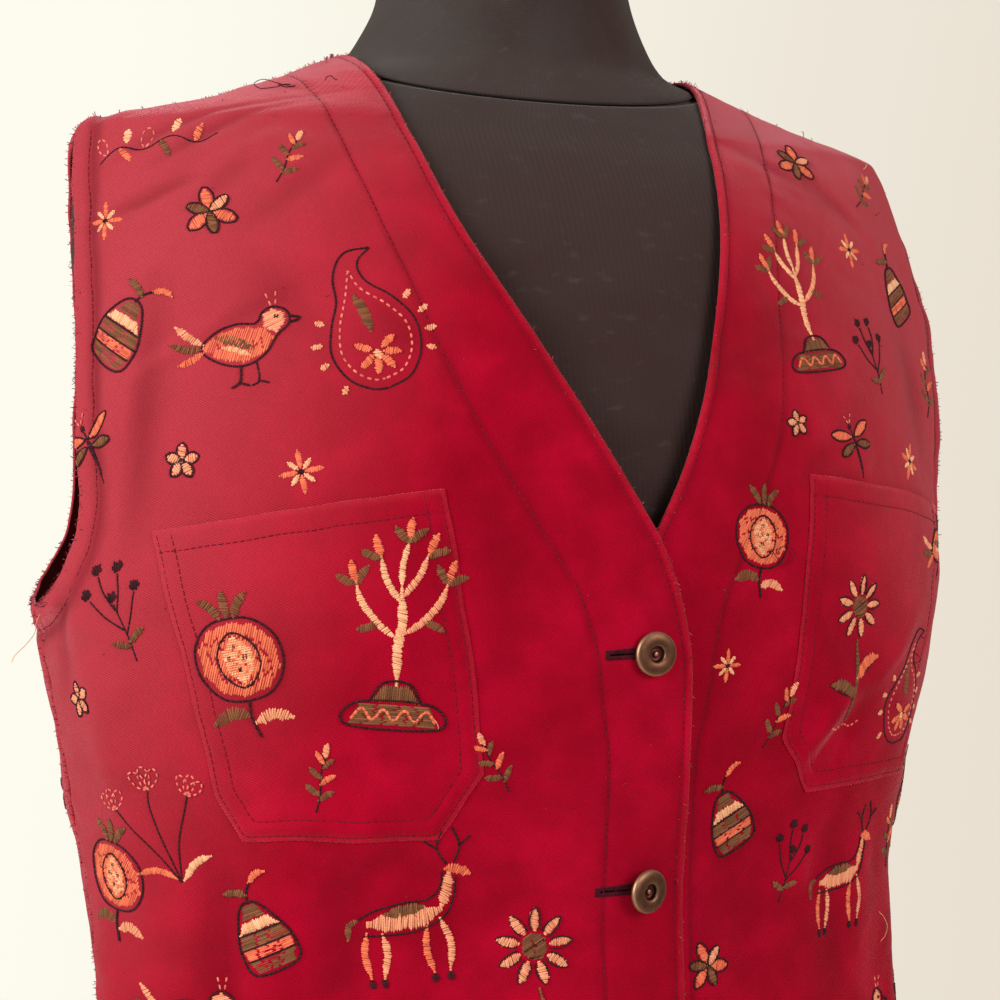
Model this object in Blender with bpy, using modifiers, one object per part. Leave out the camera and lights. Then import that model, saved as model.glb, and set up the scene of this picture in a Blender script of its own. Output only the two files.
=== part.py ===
"""Sleeveless cloth vest with a V neck, patch pockets and a buttoned front, worn on a limbless
tabletop dress form. Metres, +Z up, the front faces -Y and the wearer's right is at -X."""
import math

import bmesh
import bpy
from mathutils import Matrix, Vector
from mathutils.bvhtree import BVHTree

# Driving sizes of the garment
HEM_Z = 0.095
UNDERARM_Z = 0.449
TIP_Z = 0.6374
NECK_POINT_Z = 0.6722
V_POINT_Z = 0.472
BACK_NECK_Z = 0.656
BACK_NECK_ROUND = 0.086
WALL = 0.0018
SEAM_GAP = 0.0003
REST_GAP = 0.00045
POCKET_GAP = 0.0008

# The buttoned front hangs a little to the wearer's left of the middle
CLOSURE_X = 0.009
CLOSURE_LOW_Z = 0.49
CLOSURE_HIGH_Z = 0.62
LAP = 0.0145
SWAY = 0.004
LAP_DROP = 0.062
LAP_LIFT = 0.0027

# Buttons, from the top one down
BUTTON_COUNT = 4
BUTTON_TOP_Z = 0.427
BUTTON_SPACING = 0.092
BUTTON_SHIFT = 0.0035
BUTTON_RADIUS = 0.0086
BUTTON_TURN = (0.0, 13.0, -4.0, 6.0)
SHANK_RADIUS = 0.0009
SLIT_LENGTH = 0.021
SLIT_WIDTH = 0.0026
SLIT_PAST_BUTTON = 0.0022

# The dress form
FORM_TOP_Z = 0.742
NECK_SEAM_FRONT_Z = 0.650
NECK_SEAM_SIDE_Z = 0.6705
NECK_SEAM_BACK_Z = 0.676

# Level sections: height, half width, depth in front of and behind the side line
VEST_SECTIONS = (
    (0.095, 0.2030, 0.1110, 0.1200),
    (0.149, 0.1990, 0.1085, 0.1165),
    (0.210, 0.1890, 0.1045, 0.1090),
    (0.270, 0.1787, 0.1015, 0.1025),
    (0.320, 0.1810, 0.1015, 0.1015),
    (0.376, 0.1902, 0.1080, 0.1060),
    (0.426, 0.2000, 0.1153, 0.1130),
    (0.456, 0.2045, 0.1165, 0.1175),
    (0.480, 0.2010, 0.1160, 0.1210),
    (0.520, 0.1985, 0.1115, 0.1235),
    (0.560, 0.1945, 0.1015, 0.1220),
    (0.590, 0.1920, 0.0905, 0.1160),
    (0.610, 0.1900, 0.0810, 0.1090),
    (0.625, 0.1880, 0.0715, 0.1020),
    (0.6374, 0.1846, 0.0620, 0.0935),
    (0.650, 0.1425, 0.0555, 0.0830),
    (0.6615, 0.1080, 0.0500, 0.0735),
    (0.6725, 0.0780, 0.0455, 0.0660),
)
FORM_SECTIONS = (
    (0.000, 0.1640, 0.0940, 0.1060),
    (0.060, 0.1680, 0.0970, 0.1090),
    (0.149, 0.1640, 0.0960, 0.1060),
    (0.210, 0.1520, 0.0930, 0.0980),
    (0.280, 0.1360, 0.0890, 0.0890),
    (0.320, 0.1390, 0.0920, 0.0900),
    (0.376, 0.1520, 0.1000, 0.0960),
    (0.426, 0.1640, 0.1090, 0.1040),
    (0.476, 0.1700, 0.1090, 0.1120),
    (0.520, 0.1760, 0.1045, 0.1160),
    (0.560, 0.1830, 0.0960, 0.1160),
    (0.590, 0.1885, 0.0870, 0.1120),
    (0.610, 0.1880, 0.0785, 0.1065),
    (0.625, 0.1858, 0.0698, 0.1003),
    (0.6374, 0.1825, 0.0608, 0.0923),
    (0.650, 0.1407, 0.0545, 0.0820),
    (0.6615, 0.1062, 0.0490, 0.0725),
    (0.6725, 0.0762, 0.0445, 0.0645),
    (0.686, 0.0650, 0.0470, 0.0545),
    (0.703, 0.0567, 0.0510, 0.0480),
    (0.725, 0.0528, 0.0510, 0.0455),
    (0.742, 0.0512, 0.0505, 0.0445),
)
# Neckline: height and half opening at the front, measured from the closure line
NECKLINE = (
    (0.472, 0.0000),
    (0.490, 0.0105),
    (0.509, 0.0205),
    (0.528, 0.0297),
    (0.547, 0.0384),
    (0.574, 0.0500),
    (0.600, 0.0592),
    (0.625, 0.0657),
    (0.648, 0.0708),
    (0.6722, 0.0776),
)
# Armhole: height and how many degrees it cuts into the front and the back
ARMHOLE = (
    (0.4490, 0.0, 0.0),
    (0.4515, 5.0, 7.5),
    (0.4560, 9.5, 13.5),
    (0.4640, 13.5, 19.0),
    (0.4780, 15.5, 23.5),
    (0.5000, 15.0, 25.5),
    (0.5400, 12.5, 25.0),
    (0.5800, 10.0, 21.0),
    (0.6100, 7.0, 15.0),
    (0.6300, 3.5, 7.0),
    (0.6374, 0.0, 0.0),
)
# Soft folds: angle round the body from the front, height, half length, half width, rise, lean
FOLDS = (
    (-70.0, 0.400, 0.090, 0.014, 0.0030, -0.10),
    (80.0, 0.545, 0.105, 0.036, 0.0110, 0.00),
    (-56.0, 0.200, 0.110, 0.016, 0.0045, 0.12),
    (-30.0, 0.165, 0.080, 0.015, 0.0030, -0.08),
    (-84.0, 0.240, 0.120, 0.017, 0.0040, 0.05),
    (34.0, 0.190, 0.110, 0.017, 0.0040, -0.10),
    (60.0, 0.240, 0.120, 0.016, 0.0042, 0.10),
    (52.0, 0.385, 0.075, 0.022, 0.0022, -0.25),
    (76.0, 0.395, 0.070, 0.018, 0.0028, -0.10),
    (112.0, 0.260, 0.130, 0.018, 0.0042, 0.08),
    (138.0, 0.200, 0.110, 0.020, 0.0036, -0.06),
    (165.0, 0.240, 0.120, 0.019, 0.0030, 0.05),
    (-158.0, 0.210, 0.120, 0.020, 0.0038, 0.06),
    (-128.0, 0.250, 0.130, 0.018, 0.0040, -0.07),
    (-104.0, 0.330, 0.100, 0.015, 0.0034, 0.10),
)
# Patch pocket seen flat: distance round the body from the closure line and height above the
# pocket's foot, first at the top inner corner and then round it
POCKET_FOOT_Z = {-1: 0.3600, 1: 0.3640}
POCKET_SHIFT = {-1: 0.0, 1: -0.0050}
POCKET_OUTLINE = (
    (0.0830, 0.1310),
    (0.0690, 0.0240),
    (0.0850, 0.0000),
    (0.1590, 0.0010),
    (0.1690, 0.0180),
    (0.1950, 0.1170),
)

PANEL_COLUMNS = 16
BACK_COLUMNS = 26
FORM_SIDES = 36


def between(table, height, column):
    """Smooth monotone reading of one column of a table at a height."""
    rows = [(row[0], row[column]) for row in table]
    if height <= rows[0][0]:
        return rows[0][1]
    if height >= rows[-1][0]:
        return rows[-1][1]
    slopes = [(b[1] - a[1]) / (b[0] - a[0]) for a, b in zip(rows, rows[1:])]
    tangents = [slopes[0]]
    for low, high in zip(slopes, slopes[1:]):
        tangents.append(0.0 if low * high <= 0.0 else 2.0 * low * high / (low + high))
    tangents.append(slopes[-1])
    i = max(k for k in range(len(rows) - 1) if rows[k][0] <= height)
    span = rows[i + 1][0] - rows[i][0]
    t = (height - rows[i][0]) / span
    a, b = rows[i][1], rows[i + 1][1]
    rise_a, rise_b = tangents[i] * span, tangents[i + 1] * span
    return (a * (2 * t**3 - 3 * t**2 + 1) + b * (3 * t**2 - 2 * t**3)
            + rise_a * (t**3 - 2 * t**2 + t) + rise_b * (t**3 - t**2))


def smooth_step(low, high, value):
    t = min(max((value - low) / (high - low), 0.0), 1.0)
    return t * t * (3.0 - 2.0 * t)


def sway(height):
    """The waist of the vest hangs a little towards the wearer's right."""
    return -SWAY * smooth_step(0.13, 0.22, height) * (1.0 - smooth_step(0.36, 0.44, height))


def section_point(table, angle, height):
    """Point on the level section at a height; angle 0 is the front and 90 degrees the left side."""
    depth = between(table, height, 2 if math.cos(angle) >= 0.0 else 3)
    return Vector((between(table, height, 1) * math.sin(angle), -depth * math.cos(angle), height))


def fold_rise(angle, height):
    """How far the soft folds lift the cloth at a place."""
    total = 0.0
    for where, middle, half_length, half_width, rise, lean in FOLDS:
        along = (height - middle) / half_length
        if abs(along) >= 1.0:
            continue
        turn = math.remainder(angle - math.radians(where), math.tau)
        reach = between(VEST_SECTIONS, height, 1)
        across = (turn * reach * 0.8 - lean * (height - middle)) / half_width
        total += rise * math.cos(along * math.pi / 2) ** 2 * math.exp(-across * across)
    return total


def vest_point(angle, height, out=0.0):
    """Point of the vest's inner face, moved out square to the cloth."""
    step = 0.0005
    centre = section_point(VEST_SECTIONS, angle, height) + Vector((sway(height), 0.0, 0.0))
    top = NECK_POINT_Z
    low, high = max(height - step, HEM_Z), min(height + step, top)
    round_body = section_point(VEST_SECTIONS, angle + step, height) - section_point(
        VEST_SECTIONS, angle - step, height)
    up_body = section_point(VEST_SECTIONS, angle, high) - section_point(VEST_SECTIONS, angle, low)
    square = round_body.cross(up_body).normalized()
    return centre + square * (fold_rise(angle, height) + out)


def closure_x(height):
    return CLOSURE_X * (1.0 - smooth_step(CLOSURE_LOW_Z, CLOSURE_HIGH_Z, height))


def angle_round(side, distance, height):
    """Angle reached by going round the body from the closure line for a distance."""
    half_width, depth = between(VEST_SECTIONS, height, 1), between(VEST_SECTIONS, height, 2)
    angle = math.asin((closure_x(height) - sway(height)) / half_width)
    steps = 40
    for _ in range(steps):
        angle += side * distance / steps / math.hypot(half_width * math.cos(angle), depth * math.sin(angle))
    return angle


def front_edge_angle(side, height):
    """Angle of a front's inner edge: the neckline above the V, the lapped edge below it."""
    if height >= V_POINT_Z:
        opening = between(NECKLINE, height, 1)
    else:
        drop = min((V_POINT_Z - height) / LAP_DROP, 1.0)
        opening = -LAP * (1.0 - (1.0 - drop) ** 2)
    x = closure_x(height) + side * opening - sway(height)
    return math.asin(max(-0.995, min(0.995, x / between(VEST_SECTIONS, height, 1))))


def seam_angle(height, half):
    """Angle of the side and shoulder seam line, less half the gap kept there."""
    return math.pi / 2 - 0.5 * SEAM_GAP / between(VEST_SECTIONS, height, half)


def outer_edge_angle(side, height, half):
    inset = math.radians(between(ARMHOLE, height, half - 1)) if height > UNDERARM_Z else 0.0
    if half == 2:
        return side * (seam_angle(height, half) - inset)
    return side * (math.pi - seam_angle(height, half) + inset)


def lap_lift(angle, height):
    """The right front is lifted where it passes over the left one."""
    x = between(VEST_SECTIONS, height, 1) * math.sin(angle) + sway(height) - closure_x(height)
    near = smooth_step(-0.058, -0.027, x)
    return LAP_LIFT * near * (1.0 - smooth_step(0.485, 0.545, height))


def spread(low, high, count):
    return [low + (high - low) * i / count for i in range(count + 1)]


def new_object(name, mesh, collection):
    thing = bpy.data.objects.new(name, mesh)
    collection.objects.link(thing)
    return thing


def grid_mesh(name, rows):
    """Open sheet through rows of points, all of one length."""
    bm = bmesh.new()
    grid = [[bm.verts.new(point) for point in row] for row in rows]
    for low, high in zip(grid, grid[1:]):
        for i in range(len(low) - 1):
            bm.faces.new((low[i], low[i + 1], high[i + 1], high[i]))
    mesh = bpy.data.meshes.new(name)
    bm.to_mesh(mesh)
    bm.free()
    return mesh


def closed_loft(name, rings, foot, head):
    """Closed solid through rings of points, with a fan to one point at each end."""
    bm = bmesh.new()
    loops = [[bm.verts.new(point) for point in ring] for ring in rings]
    count = len(loops[0])
    for low, high in zip(loops, loops[1:]):
        for i in range(count):
            j = (i + 1) % count
            bm.faces.new((low[i], low[j], high[j], high[i]))
    bottom, top = bm.verts.new(foot), bm.verts.new(head)
    for i in range(count):
        j = (i + 1) % count
        bm.faces.new((loops[0][j], loops[0][i], bottom))
        bm.faces.new((loops[-1][i], loops[-1][j], top))
    bmesh.ops.recalc_face_normals(bm, faces=bm.faces)
    mesh = bpy.data.meshes.new(name)
    bm.to_mesh(mesh)
    bm.free()
    return mesh


def add_wall(sheet):
    wall = sheet.modifiers.new("cloth wall", 'SOLIDIFY')
    wall.thickness = WALL
    wall.offset = 1.0
    wall.use_even_offset = True


def material(name, colour, roughness, metallic=0.0):
    finish = bpy.data.materials.new(name)
    finish.use_nodes = True
    shader = finish.node_tree.nodes["Principled BSDF"]
    shader.inputs["Base Color"].default_value = (*colour, 1.0)
    shader.inputs["Roughness"].default_value = roughness
    shader.inputs["Metallic"].default_value = metallic
    return finish


def panel_heights():
    """Heights of a panel's rows, close together at the foot of the armhole and on the shoulder."""
    skirt = spread(HEM_Z, UNDERARM_Z, 17)
    armhole = [0.4515, 0.456, 0.464, 0.478, 0.494, 0.512, 0.532, 0.553, 0.574, 0.593, 0.609, 0.625]
    shoulder = spread(TIP_Z, NECK_POINT_Z, 9)
    return skirt + armhole + shoulder


def make_front(name, side, cloth, collection):
    """One front, from its side seam to its lapped edge; side is -1 for the wearer's right."""
    rows = []
    for height in panel_heights():
        outer = outer_edge_angle(side, height, 2)
        inner = front_edge_angle(side, height)
        angles = spread(outer, inner, PANEL_COLUMNS) if side < 0 else spread(inner, outer, PANEL_COLUMNS)
        rows.append([vest_point(a, height, lap_lift(a, height) if side < 0 else 0.0) for a in angles])
    front = new_object(name, grid_mesh(name, rows), collection)
    front.data.materials.append(cloth)
    add_wall(front)
    return front


def back_neck_height(angle):
    """Height of the back neckline: level at the neck points, lowest at the middle of the back."""
    ends, deepest = 1.0, BACK_NECK_ROUND ** -0.2
    here = (math.sin(angle) ** 2 + BACK_NECK_ROUND) ** -0.2
    return NECK_POINT_Z - (NECK_POINT_Z - BACK_NECK_Z) * max(0.0, here - ends) / (deepest - ends)


def make_back(cloth, collection):
    """The back in one piece, from side seam to side seam, shoulders and neck at the top."""
    rows = []
    for height in panel_heights():
        left = outer_edge_angle(1, height, 3)
        right = math.tau + outer_edge_angle(-1, height, 3)
        climb = max(0.0, (height - TIP_Z) / (NECK_POINT_Z - TIP_Z))
        row = []
        for angle in spread(left, right, BACK_COLUMNS):
            lowered = (NECK_POINT_Z - back_neck_height(angle)) * climb
            row.append(vest_point(angle, height - lowered))
        rows.append(row)
    back = new_object("back", grid_mesh("back", rows), collection)
    back.data.materials.append(cloth)
    add_wall(back)
    return back


def make_pocket(name, side, front, cloth, collection):
    """Patch pocket laid on its front's outer face, six-sided like the paper pattern."""
    laid_on = BVHTree.FromObject(front, bpy.context.evaluated_depsgraph_get())
    low = POCKET_FOOT_Z[side]
    inner = POCKET_OUTLINE[2::-1]
    outer = POCKET_OUTLINE[3:]
    shares = (0.0, 0.10, 0.17, 0.30, 0.45, 0.60, 0.75, 0.88, 1.0)

    def along(points, share):
        """Point a share of the way up one side, bent at the side's corner."""
        if share <= 0.17:
            t = share / 0.17
            return [points[0][k] + (points[1][k] - points[0][k]) * t for k in (0, 1)]
        t = (share - 0.17) / 0.83
        return [points[1][k] + (points[2][k] - points[1][k]) * t for k in (0, 1)]

    rows = []
    for share in shares:
        start, stop = along(inner, share), along(outer, share)
        row = []
        for t in spread(0.0, 1.0, 10):
            distance = start[0] + (stop[0] - start[0]) * t + POCKET_SHIFT[side]
            height = low + start[1] + (stop[1] - start[1]) * t
            angle = angle_round(side, distance, height)
            inside = vest_point(angle, height)
            square = (vest_point(angle, height, 0.03) - inside).normalized()
            touch = laid_on.ray_cast(inside + square * 0.03, -square)[0]
            row.append(touch + square * POCKET_GAP)
        rows.append(row[::-1] if side < 0 else row)
    pocket = new_object(name, grid_mesh(name, rows), collection)
    pocket.data.materials.append(cloth)
    add_wall(pocket)
    return pocket


def button_frame(index):
    """Place on the outer face under a button, with its across, up and out directions."""
    height = BUTTON_TOP_Z - index * BUTTON_SPACING
    x = closure_x(height) - BUTTON_SHIFT - sway(height)
    angle = math.asin(x / between(VEST_SECTIONS, height, 1))
    seat = vest_point(angle, height, LAP_LIFT + WALL)
    out = (vest_point(angle, height, 1.0) - vest_point(angle, height)).normalized()
    across = Vector((0.0, 0.0, 1.0)).cross(out).normalized() * -1.0
    up = across.cross(out).normalized() * -1.0
    if up.z < 0.0:
        up.negate()
    if across.x < 0.0:
        across.negate()
    return seat, across, up, out


def cut_buttonhole(front, index, cutters):
    """A sideways slit through the right front, its inner end under the button."""
    seat, across, up, out = button_frame(index)
    bpy.ops.mesh.primitive_cube_add(size=1.0)
    cutter = bpy.context.object
    cutter.name = "buttonhole_cutter_%d" % (index + 1)
    middle = seat + across * (SLIT_PAST_BUTTON - SLIT_LENGTH / 2)
    size = Matrix.Diagonal((SLIT_LENGTH, SLIT_WIDTH, 0.012, 1.0))
    turn = Matrix((across, up, across.cross(up))).transposed().to_4x4()
    cutter.data.transform(Matrix.Translation(middle) @ turn @ size)
    for owner in list(cutter.users_collection):
        owner.objects.unlink(cutter)
    cutters.objects.link(cutter)
    cutter.hide_render = True
    cutter.display_type = 'WIRE'
    slit = front.modifiers.new("buttonhole", 'BOOLEAN')
    slit.operation = 'DIFFERENCE'
    slit.solver = 'EXACT'
    slit.object = cutter


def make_button(index, brass, collection):
    """Turned metal button: flat back, rolled rim, dished face with a small boss."""
    r = BUTTON_RADIUS
    profile = (
        (0.0, 0.0036), (0.10 * r, 0.0036), (0.24 * r, 0.0026), (0.52 * r, 0.0027), (0.74 * r, 0.0036),
        (0.90 * r, 0.0035), (r, 0.0024), (0.96 * r, 0.0010), (0.70 * r, 0.0), (0.0, 0.0))
    mesh = bpy.data.meshes.new("button")
    mesh.from_pydata([(x, 0.0, z) for x, z in profile], [(i, i + 1) for i in range(len(profile) - 1)], [])
    button = new_object("button_%d" % (index + 1), mesh, collection)
    turned = button.modifiers.new("turned", 'SCREW')
    turned.steps = turned.render_steps = 20
    turned.use_merge_vertices = True
    turned.merge_threshold = 0.00001
    seat, across, up, out = button_frame(index)
    tilt = math.radians(BUTTON_TURN[index])
    face = (out * math.cos(tilt) + across * math.sin(tilt)).normalized()
    side = up.cross(face).normalized()
    stand_off = REST_GAP + r * abs(math.sin(tilt)) + 0.0004
    place = seat + out * stand_off
    turn = Matrix((side, face.cross(side), face)).transposed().to_4x4()
    button.matrix_world = Matrix.Translation(place) @ turn
    button.data.materials.append(brass)
    return stand_off


def make_shank(index, stand_off, thread, collection):
    """Wound thread shank from the left front, through the buttonhole, to the button's back."""
    seat, across, up, out = button_frame(index)
    tilt = math.radians(BUTTON_TURN[index])
    start = -(LAP_LIFT + WALL) + WALL + REST_GAP
    stop = stand_off - SEAM_GAP - SHANK_RADIUS * abs(math.tan(tilt))
    bpy.ops.mesh.primitive_cylinder_add(vertices=10, radius=SHANK_RADIUS, depth=stop - start)
    shank = bpy.context.object
    shank.name = "button_thread_%d" % (index + 1)
    turn = Matrix((across, up, across.cross(up))).transposed().to_4x4()
    shank.matrix_world = Matrix.Translation(seat + out * (start + stop) / 2) @ turn
    for owner in list(shank.users_collection):
        owner.objects.unlink(shank)
    collection.objects.link(shank)
    shank.data.materials.append(thread)


def neck_seam_z(angle):
    """Height of the form's neck seam, low in front and high behind."""
    end = NECK_SEAM_FRONT_Z if math.cos(angle) >= 0.0 else NECK_SEAM_BACK_Z
    return end + (NECK_SEAM_SIDE_Z - end) * math.sin(angle) ** 2


def form_ring(height_of):
    angles = [math.tau * i / FORM_SIDES for i in range(FORM_SIDES)]
    return [section_point(FORM_SECTIONS, a, height_of(a)) for a in angles]


def make_form(jersey, collection):
    """Jersey-covered form in two solids, the torso and the neck, parted at the neck seam."""
    low_rows = spread(0.0, 0.60, 20)
    rings = [form_ring(lambda a, z=z: z) for z in low_rows]
    last = low_rows[-1]
    for share in spread(0.0, 1.0, 11)[1:]:
        rings.append(form_ring(lambda a, s=share: last + (neck_seam_z(a) - last) * s))
    middle = Vector((0.0, 0.004, NECK_SEAM_SIDE_Z))
    torso = new_object("form_torso", closed_loft("form_torso", rings, (0.0, 0.0, 0.0), middle), collection)
    gap = SEAM_GAP * 1.3
    rings = []
    for share in (0.0, 0.015, 0.035, 0.07, 0.13, 0.22, 0.36, 0.55, 0.78, 0.95):
        rings.append(form_ring(lambda a, s=share: neck_seam_z(a) + gap + (FORM_TOP_Z - neck_seam_z(a) - gap) * s))
    crown = [Vector((p.x * 0.95, p.y * 0.95, FORM_TOP_Z)) for p in form_ring(lambda a: FORM_TOP_Z)]
    rings.append(crown)
    top = Vector((0.0, 0.0, FORM_TOP_Z))
    neck = new_object(
        "form_neck", closed_loft("form_neck", rings, middle + Vector((0.0, 0.0, gap)), top), collection)
    for piece in (torso, neck):
        piece.data.materials.append(jersey)
        piece.data.shade_smooth()
    return torso, neck


def main():
    for old in list(bpy.data.objects):
        bpy.data.objects.remove(old, do_unlink=True)
    parts = bpy.data.collections.new("vest on dress form")
    cutters = bpy.data.collections.new("cutters")
    for collection in (parts, cutters):
        bpy.context.scene.collection.children.link(collection)
    red = material("red cotton twill", (0.38, 0.004, 0.022), 0.85)
    brass = material("aged brass", (0.36, 0.25, 0.12), 0.38, 1.0)
    maroon = material("maroon thread", (0.10, 0.006, 0.012), 0.8)
    jersey = material("charcoal jersey", (0.035, 0.030, 0.030), 0.95)
    make_form(jersey, parts)
    make_back(red, parts)
    left = make_front("left_front", 1, red, parts)
    right = make_front("right_front", -1, red, parts)
    bpy.context.view_layer.update()
    make_pocket("right_pocket", -1, right, red, parts)
    make_pocket("left_pocket", 1, left, red, parts)
    for index in range(BUTTON_COUNT):
        cut_buttonhole(right, index, cutters)
        stand_off = make_button(index, brass, parts)
        make_shank(index, stand_off, maroon, parts)


main()
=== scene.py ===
"""Embroidered red cotton vest worn on a limbless tabletop dress form.

Metres, +Z up. The front faces -Y and the wearer's right is at -X."""
import math

import bpy
import numpy as np
from mathutils import Matrix, Vector, kdtree, noise
from mathutils.bvhtree import BVHTree


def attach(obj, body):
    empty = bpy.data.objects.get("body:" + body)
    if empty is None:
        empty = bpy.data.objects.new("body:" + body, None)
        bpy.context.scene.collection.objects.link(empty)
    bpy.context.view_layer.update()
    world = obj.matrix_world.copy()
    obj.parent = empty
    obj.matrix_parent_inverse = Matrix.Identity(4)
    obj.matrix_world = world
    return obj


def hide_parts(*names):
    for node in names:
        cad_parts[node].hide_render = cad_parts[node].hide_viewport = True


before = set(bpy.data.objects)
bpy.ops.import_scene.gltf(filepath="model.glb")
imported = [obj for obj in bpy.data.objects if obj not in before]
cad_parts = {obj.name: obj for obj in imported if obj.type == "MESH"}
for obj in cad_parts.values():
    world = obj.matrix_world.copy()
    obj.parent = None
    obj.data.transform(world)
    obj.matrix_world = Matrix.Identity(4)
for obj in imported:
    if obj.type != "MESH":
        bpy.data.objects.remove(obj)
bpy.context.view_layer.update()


# Dress form: a light moulded torso without limbs, pulled over with a tube of charcoal cotton jersey.
# The jersey is smooth and tight, and a second piece covers the neck; the two meet in a low seam
# round the foot of the neck.
FORM_TOP_Z = 0.742
NECK_SEAM_FRONT_Z = 0.65
NECK_SEAM_SIDE_Z = 0.6705
NECK_SEAM_BACK_Z = 0.676
SEAM_GAP = 0.0003
FORM_SIDES = 120
FORM_SECTIONS = (
    (.000, .164, .094, .106),
    (.06, .168, .097, .109),
    (.149, .164, .096, .106),
    (.21, .152, .093, .098),
    (.28, .136, .089, .089),
    (.32, .139, .092, .09),
    (.376, .152, .1, .096),
    (.426, .164, .109, .104),
    (.476, .17, .109, .112),
    (.52, .176, .1045, .116),
    (.56, .183, .096, .116),
    (.59, .1885, .087, .112),
    (.61, .188, .0785, .1065),
    (.625, .1858, .0698, .1003),
    (.6374, .1825, .0608, .0923),
    (.65, .1407, .0545, .082),
    (.6615, .1062, .049, .0725),
    (.6725, .0762, .0445, .0645),
    (.686, .065, .047, .0545),
    (.703, .0567, .051, .048),
    (.725, .0528, .051, .0455),
    (.742, .0512, .0505, .0445),
)


def reading(table, heights, column):
    """Smooth monotone reading of one column of a table at many heights."""
    rows = np.array(table)
    z, value = rows[:, 0], rows[:, column]
    slope = np.diff(value) / np.diff(z)
    low, high = slope[:-1], slope[1:]
    both = np.where(low + high == 0.0, 1.0, low + high)
    middle = np.where(low * high <= 0.0, 0.0, 2.0 * low * high / both)
    tangent = np.concatenate(([slope[0]], middle, [slope[-1]]))
    h = np.clip(heights, z[0], z[-1])
    i = np.clip(np.searchsorted(z, h, side="right") - 1, 0, len(z) - 2)
    span = z[i + 1] - z[i]
    t = (h - z[i]) / span
    return (value[i] * (2 * t**3 - 3 * t**2 + 1) + value[i + 1] * (3 * t**2 - 2 * t**3)
            + tangent[i] * span * (t**3 - 2 * t**2 + t) + tangent[i + 1] * span * (t**3 - t**2))


def length_along(line):
    """Distance along a line of points, from its first point to each."""
    return np.concatenate(([0.0], np.cumsum(np.linalg.norm(np.diff(line, axis=0), axis=1))))


def points_at(wanted, run, line, columns=3):
    """Points of a line at these distances along it."""
    return np.stack([np.interp(wanted, run, line[:, k]) for k in range(columns)], 1)


def unit(ways):
    return ways / np.maximum(np.linalg.norm(ways, axis=1, keepdims=True), 1e-9)


def section_points(table, angles, heights):
    """Points on level sections; angle 0 is the front and 90 degrees the wearer's left side."""
    angles, heights = np.broadcast_arrays(angles, heights)
    depth = np.where(np.cos(angles) >= 0.0, reading(table, heights, 2), reading(table, heights, 3))
    across = reading(table, heights, 1) * np.sin(angles)
    return np.stack((across, -depth * np.cos(angles), heights), axis=-1)


def neck_seam_z(angles):
    end = np.where(np.cos(angles) >= 0.0, NECK_SEAM_FRONT_Z, NECK_SEAM_BACK_Z)
    return end + (NECK_SEAM_SIDE_Z - end) * np.sin(angles) ** 2


def ring_faces(rings, sides):
    """Faces between rings of points, closed on the two single points that follow them."""
    faces = []
    for low in range(0, (rings - 1) * sides, sides):
        for i in range(sides):
            j = (i + 1) % sides
            faces.append((low + i, low + j, low + sides + j, low + sides + i))
    top, foot = (rings - 1) * sides, rings * sides
    for i in range(sides):
        j = (i + 1) % sides
        faces.append((j, i, foot))
        faces.append((top + i, top + j, foot + 1))
    return faces


def new_piece(name, points, faces):
    """Smooth mesh object from points and faces, placed in the scene."""
    mesh = bpy.data.meshes.new(name)
    mesh.from_pydata(points, [], faces)
    mesh.shade_smooth()
    piece = bpy.data.objects.new(name, mesh)
    bpy.context.scene.collection.objects.link(piece)
    return piece


def solid_of_rings(name, rings, foot, head, cover):
    """Closed form through rings of points, with UVs in metres round and up it."""
    count = len(rings[0])
    points = np.concatenate([np.concatenate(rings), [foot, head]])
    piece = new_piece(name, points.tolist(), ring_faces(len(rings), count))
    mesh = piece.data
    places = mesh.uv_layers.new(name="cloth_place")
    round_body = 0.5 / count
    for face in mesh.polygons:
        turns = [(v % count) * round_body for v in face.vertices]
        wraps = max(turns) - min(turns) > 0.25
        for corner, turn in zip(face.loop_indices, turns):
            height = points[mesh.loops[corner].vertex_index][2]
            places.data[corner].uv = (turn + (0.5 if wraps and turn < 0.25 else 0.0), height)
    mesh.materials.append(cover)
    return piece


def shader_node(tree, kind, values=None, **settings):
    """Add a node; each value is either a number for its socket or a socket to link to it."""
    made = tree.nodes.new('ShaderNode' + kind)
    for setting, value in settings.items():
        setattr(made, setting, value)
    for socket, value in (values or {}).items():
        if isinstance(value, bpy.types.NodeSocket):
            tree.links.new(value, made.inputs[socket])
        else:
            made.inputs[socket].default_value = value
    return made


def new_finish(name):
    """Material with its node tree and its shader."""
    finish = bpy.data.materials.new(name)
    finish.use_nodes = True
    return finish, finish.node_tree, finish.node_tree.nodes["Principled BSDF"]


def effect_group(name, inputs, outputs):
    """Empty shader node group with named sockets, its inputs and its outputs."""
    tree = bpy.data.node_groups.new(name, 'ShaderNodeTree')
    for label, kind, value in inputs:
        socket = tree.interface.new_socket(label, in_out='INPUT', socket_type=kind)
        if value is not None:
            socket.default_value = value
    for label, kind in outputs:
        tree.interface.new_socket(label, in_out='OUTPUT', socket_type=kind)
    return tree, tree.nodes.new('NodeGroupInput').outputs, tree.nodes.new('NodeGroupOutput').inputs


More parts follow.
